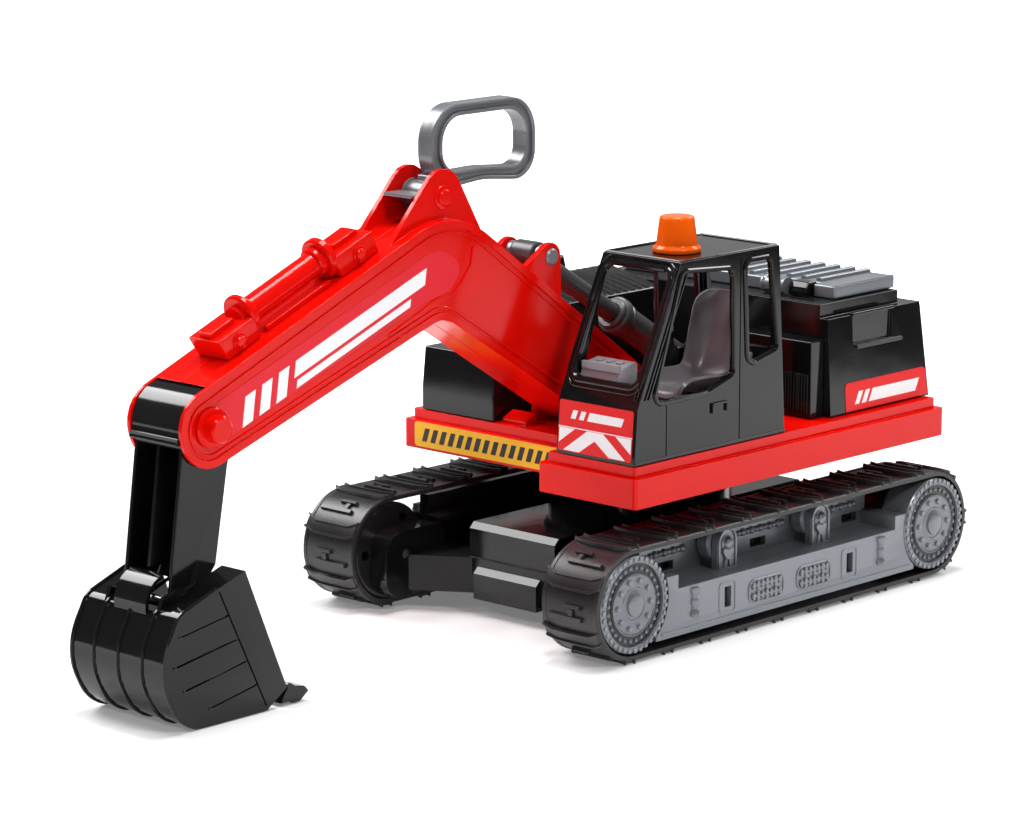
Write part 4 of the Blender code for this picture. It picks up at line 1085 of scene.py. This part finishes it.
def bucket():
    half = BUCKET_HALF
    skin = rounded(BUCKET_CORNERS, 5)
    out = [Vector((point.x, max(point.y, 0.1))) for point in inset(skin, -1.15)]
    path = list(zip(skin, out))[1:-1]
    ribs = []
    for low, high in ((-half, 2.4 - half), (-22.6, -20.4), (-1.1, 1.1), (20.4, 22.6), (half - 2.4, half)):
        bm = bmesh.new()
        rows = []
        for inner, outer in path:
            deep = inner + (inner - outer) * 0.5
            rows.append([bm.verts.new((low, *deep)), bm.verts.new((low + 0.5, *outer)),
                         bm.verts.new((high - 0.5, *outer)), bm.verts.new((high, *deep))])
        bridge(bm, rows, capped=True)
        ribs.append(outward(bm))
    seam = ((-425.3, 81.0), (-388.2, 3.6))
    grooves = [
        ((-457.1, 58.9), (-418.5, 65.3)), ((-461.5, 41.0), (-409.3, 49.7)),
        ((-454.3, 25.5), (-403.0, 34.6)), ((-434.1, 11.2), (-396.0, 18.3)),
    ]
    cuts = []
    for side in (-1, 1):
        depth = "X", side * (half - 0.9), side * (half + 2)
        cuts.append(plate(stroke(*seam, 1.2), *depth))
        for start, end in grooves:
            cuts.append(plate(stroke(start, end, 1.3), *depth))
            ribs.append(ball((side * half, *start), 1.5, 0.6, (side, 0, 0)))
    refined("bucket", 0.8, 2, cuts=cuts, adds=ribs)
    refined("bucket_teeth", 0.7, 2)


tracks()
undercarriage()
deck()
cab()
seat()
dashboard()
beacon()
engine_cover()
engine_lid()
deck_boxes()
boom()
boom_pins()
dummy_ram()
handle()
ram()
arm()
bucket()


def even_normals():
    """Flat walls keep their own normal where a rounded edge meets them."""
    for obj in bpy.data.objects:
        if obj.type == "MESH" and obj.name not in SLOT_OF:
            even = obj.modifiers.new("Even", "WEIGHTED_NORMAL")
            even.keep_sharp = True
            even.weight = 100


# ---------------------------------------------------------------- camera, light and floor

def sheet_of(name, size, place, material):
    bm = bmesh.new()
    bmesh.ops.create_grid(bm, x_segments=1, y_segments=1, size=size / 2)
    obj = mesh_object(name, bm)
    obj.data.materials.append(material)
    obj.location = place
    return obj


def pale(name, value, glow=0.0):
    material = bpy.data.materials.new(name)
    material.use_nodes = True
    shader = material.node_tree.nodes["Principled BSDF"]
    shader.inputs["Base Color"].default_value = (value, value, value, 1)
    shader.inputs["Roughness"].default_value = 0.6
    shader.inputs["Emission Color"].default_value = (1, 1, 1, 1)
    shader.inputs["Emission Strength"].default_value = glow
    return material


LAMPS = {  # place and size in metres, power in watts
    "key_box": ((-1.38, -0.35, 1.50), (1.0, 1.0), 36),
    "over_box": ((0.0, 0.3, 2.1), (0.75, 0.75), 34),
    "rim_strip": ((0.2, 1.75, 1.45), (2.4, 0.3), 20),
    "side_box": ((2.1, -0.4, 1.9), (0.4, 0.4), 20),
    "front_box": ((0.6, -2.3, 1.9), (0.4, 0.4), 15),
    "back_card": ((-1.7, 2.0, 0.88), (2.6, 0.8), 2.0),
}
GLOW_START, GLOW_END = 0.42, 0.95  # distances from the middle between which the floor grows brighter


def floor():
    """A white sheet that glows more with distance, and a plain one beyond it that only the camera sees."""
    white = pale("floor_white", 0.82)
    tree = white.node_tree
    place = tree.nodes.new("ShaderNodeTexCoord")
    far_off = tree.nodes.new("ShaderNodeVectorMath")
    far_off.operation = "LENGTH"
    tree.links.new(place.outputs["Object"], far_off.inputs[0])
    lift = tree.nodes.new("ShaderNodeMapRange")
    lift.interpolation_type = "SMOOTHSTEP"
    for key, value in (("From Min", GLOW_START), ("From Max", GLOW_END), ("To Min", 0.17), ("To Max", 0.82)):
        lift.inputs[key].default_value = value
    tree.links.new(far_off.outputs["Value"], lift.inputs["Value"])
    tree.links.new(lift.outputs["Result"], tree.nodes["Principled BSDF"].inputs["Emission Strength"])
    sheet_of("floor", 2.3, (0, 0, -0.0003), white)
    far = sheet_of("far_floor", 60, (0, 0, -0.004), pale("far_white", 0.9, 1.2))
    for ray in ("visible_diffuse", "visible_glossy", "visible_transmission", "visible_shadow"):
        setattr(far, ray, False)


def lamps():
    middle = ORIGIN + Vector((0, -0.1, 0.12))
    for name, (place, size, power) in LAMPS.items():
        data = bpy.data.lights.new(name, "AREA")
        data.shape = "RECTANGLE"
        data.size, data.size_y = size
        data.energy = power
        obj = linked_object(name, data)
        obj.location = place
        obj.rotation_mode = "QUATERNION"
        obj.rotation_quaternion = (middle - Vector(place)).to_track_quat("-Z", "Y")
        obj.visible_camera = False


def surroundings():
    """A dim grey world, a little paler at the horizon and overhead."""
    world = bpy.data.worlds.new("studio")
    world.use_nodes = True
    tree = world.node_tree
    place = tree.nodes.new("ShaderNodeTexCoord")
    split = tree.nodes.new("ShaderNodeSeparateXYZ")
    height = tree.nodes.new("ShaderNodeMapRange")
    ramp = tree.nodes.new("ShaderNodeValToRGB")
    height.inputs["From Min"].default_value = -1.0
    tree.links.new(place.outputs["Generated"], split.inputs[0])
    tree.links.new(split.outputs["Z"], height.inputs["Value"])
    tree.links.new(height.outputs["Result"], ramp.inputs["Fac"])
    stops = ramp.color_ramp.elements
    stops[0].color = (0.10, 0.10, 0.10, 1)
    stops[1].color = (0.20, 0.20, 0.21, 1)
    for position, value in ((0.49, 0.10), (0.52, 0.16), (0.60, 0.10), (0.75, 0.10)):
        stops.new(position).color = (value, value, value * 1.02, 1)
    tree.links.new(ramp.outputs["Color"], tree.nodes["Background"].inputs["Color"])
    bpy.context.scene.world = world
    bpy.context.scene.view_settings.view_transform = "Standard"


def camera():
    azimuth, elevation = math.radians(43.1), math.radians(11.5)
    level = math.cos(elevation)
    ahead = Vector((-math.sin(azimuth) * level, math.cos(azimuth) * level, -math.sin(elevation)))
    data = bpy.data.cameras.new("camera")
    data.lens = 140.625
    data.sensor_width = 36
    data.clip_start, data.clip_end = 0.05, 100
    obj = linked_object("camera", data)
    obj.location = ORIGIN + Vector((1739.7, -1985.8, 659.0)) * MM
    obj.rotation_mode = "QUATERNION"
    obj.rotation_quaternion = ahead.to_track_quat("-Z", "Y")
    bpy.context.scene.camera = obj


even_normals()
floor()
lamps()
surroundings()
camera()
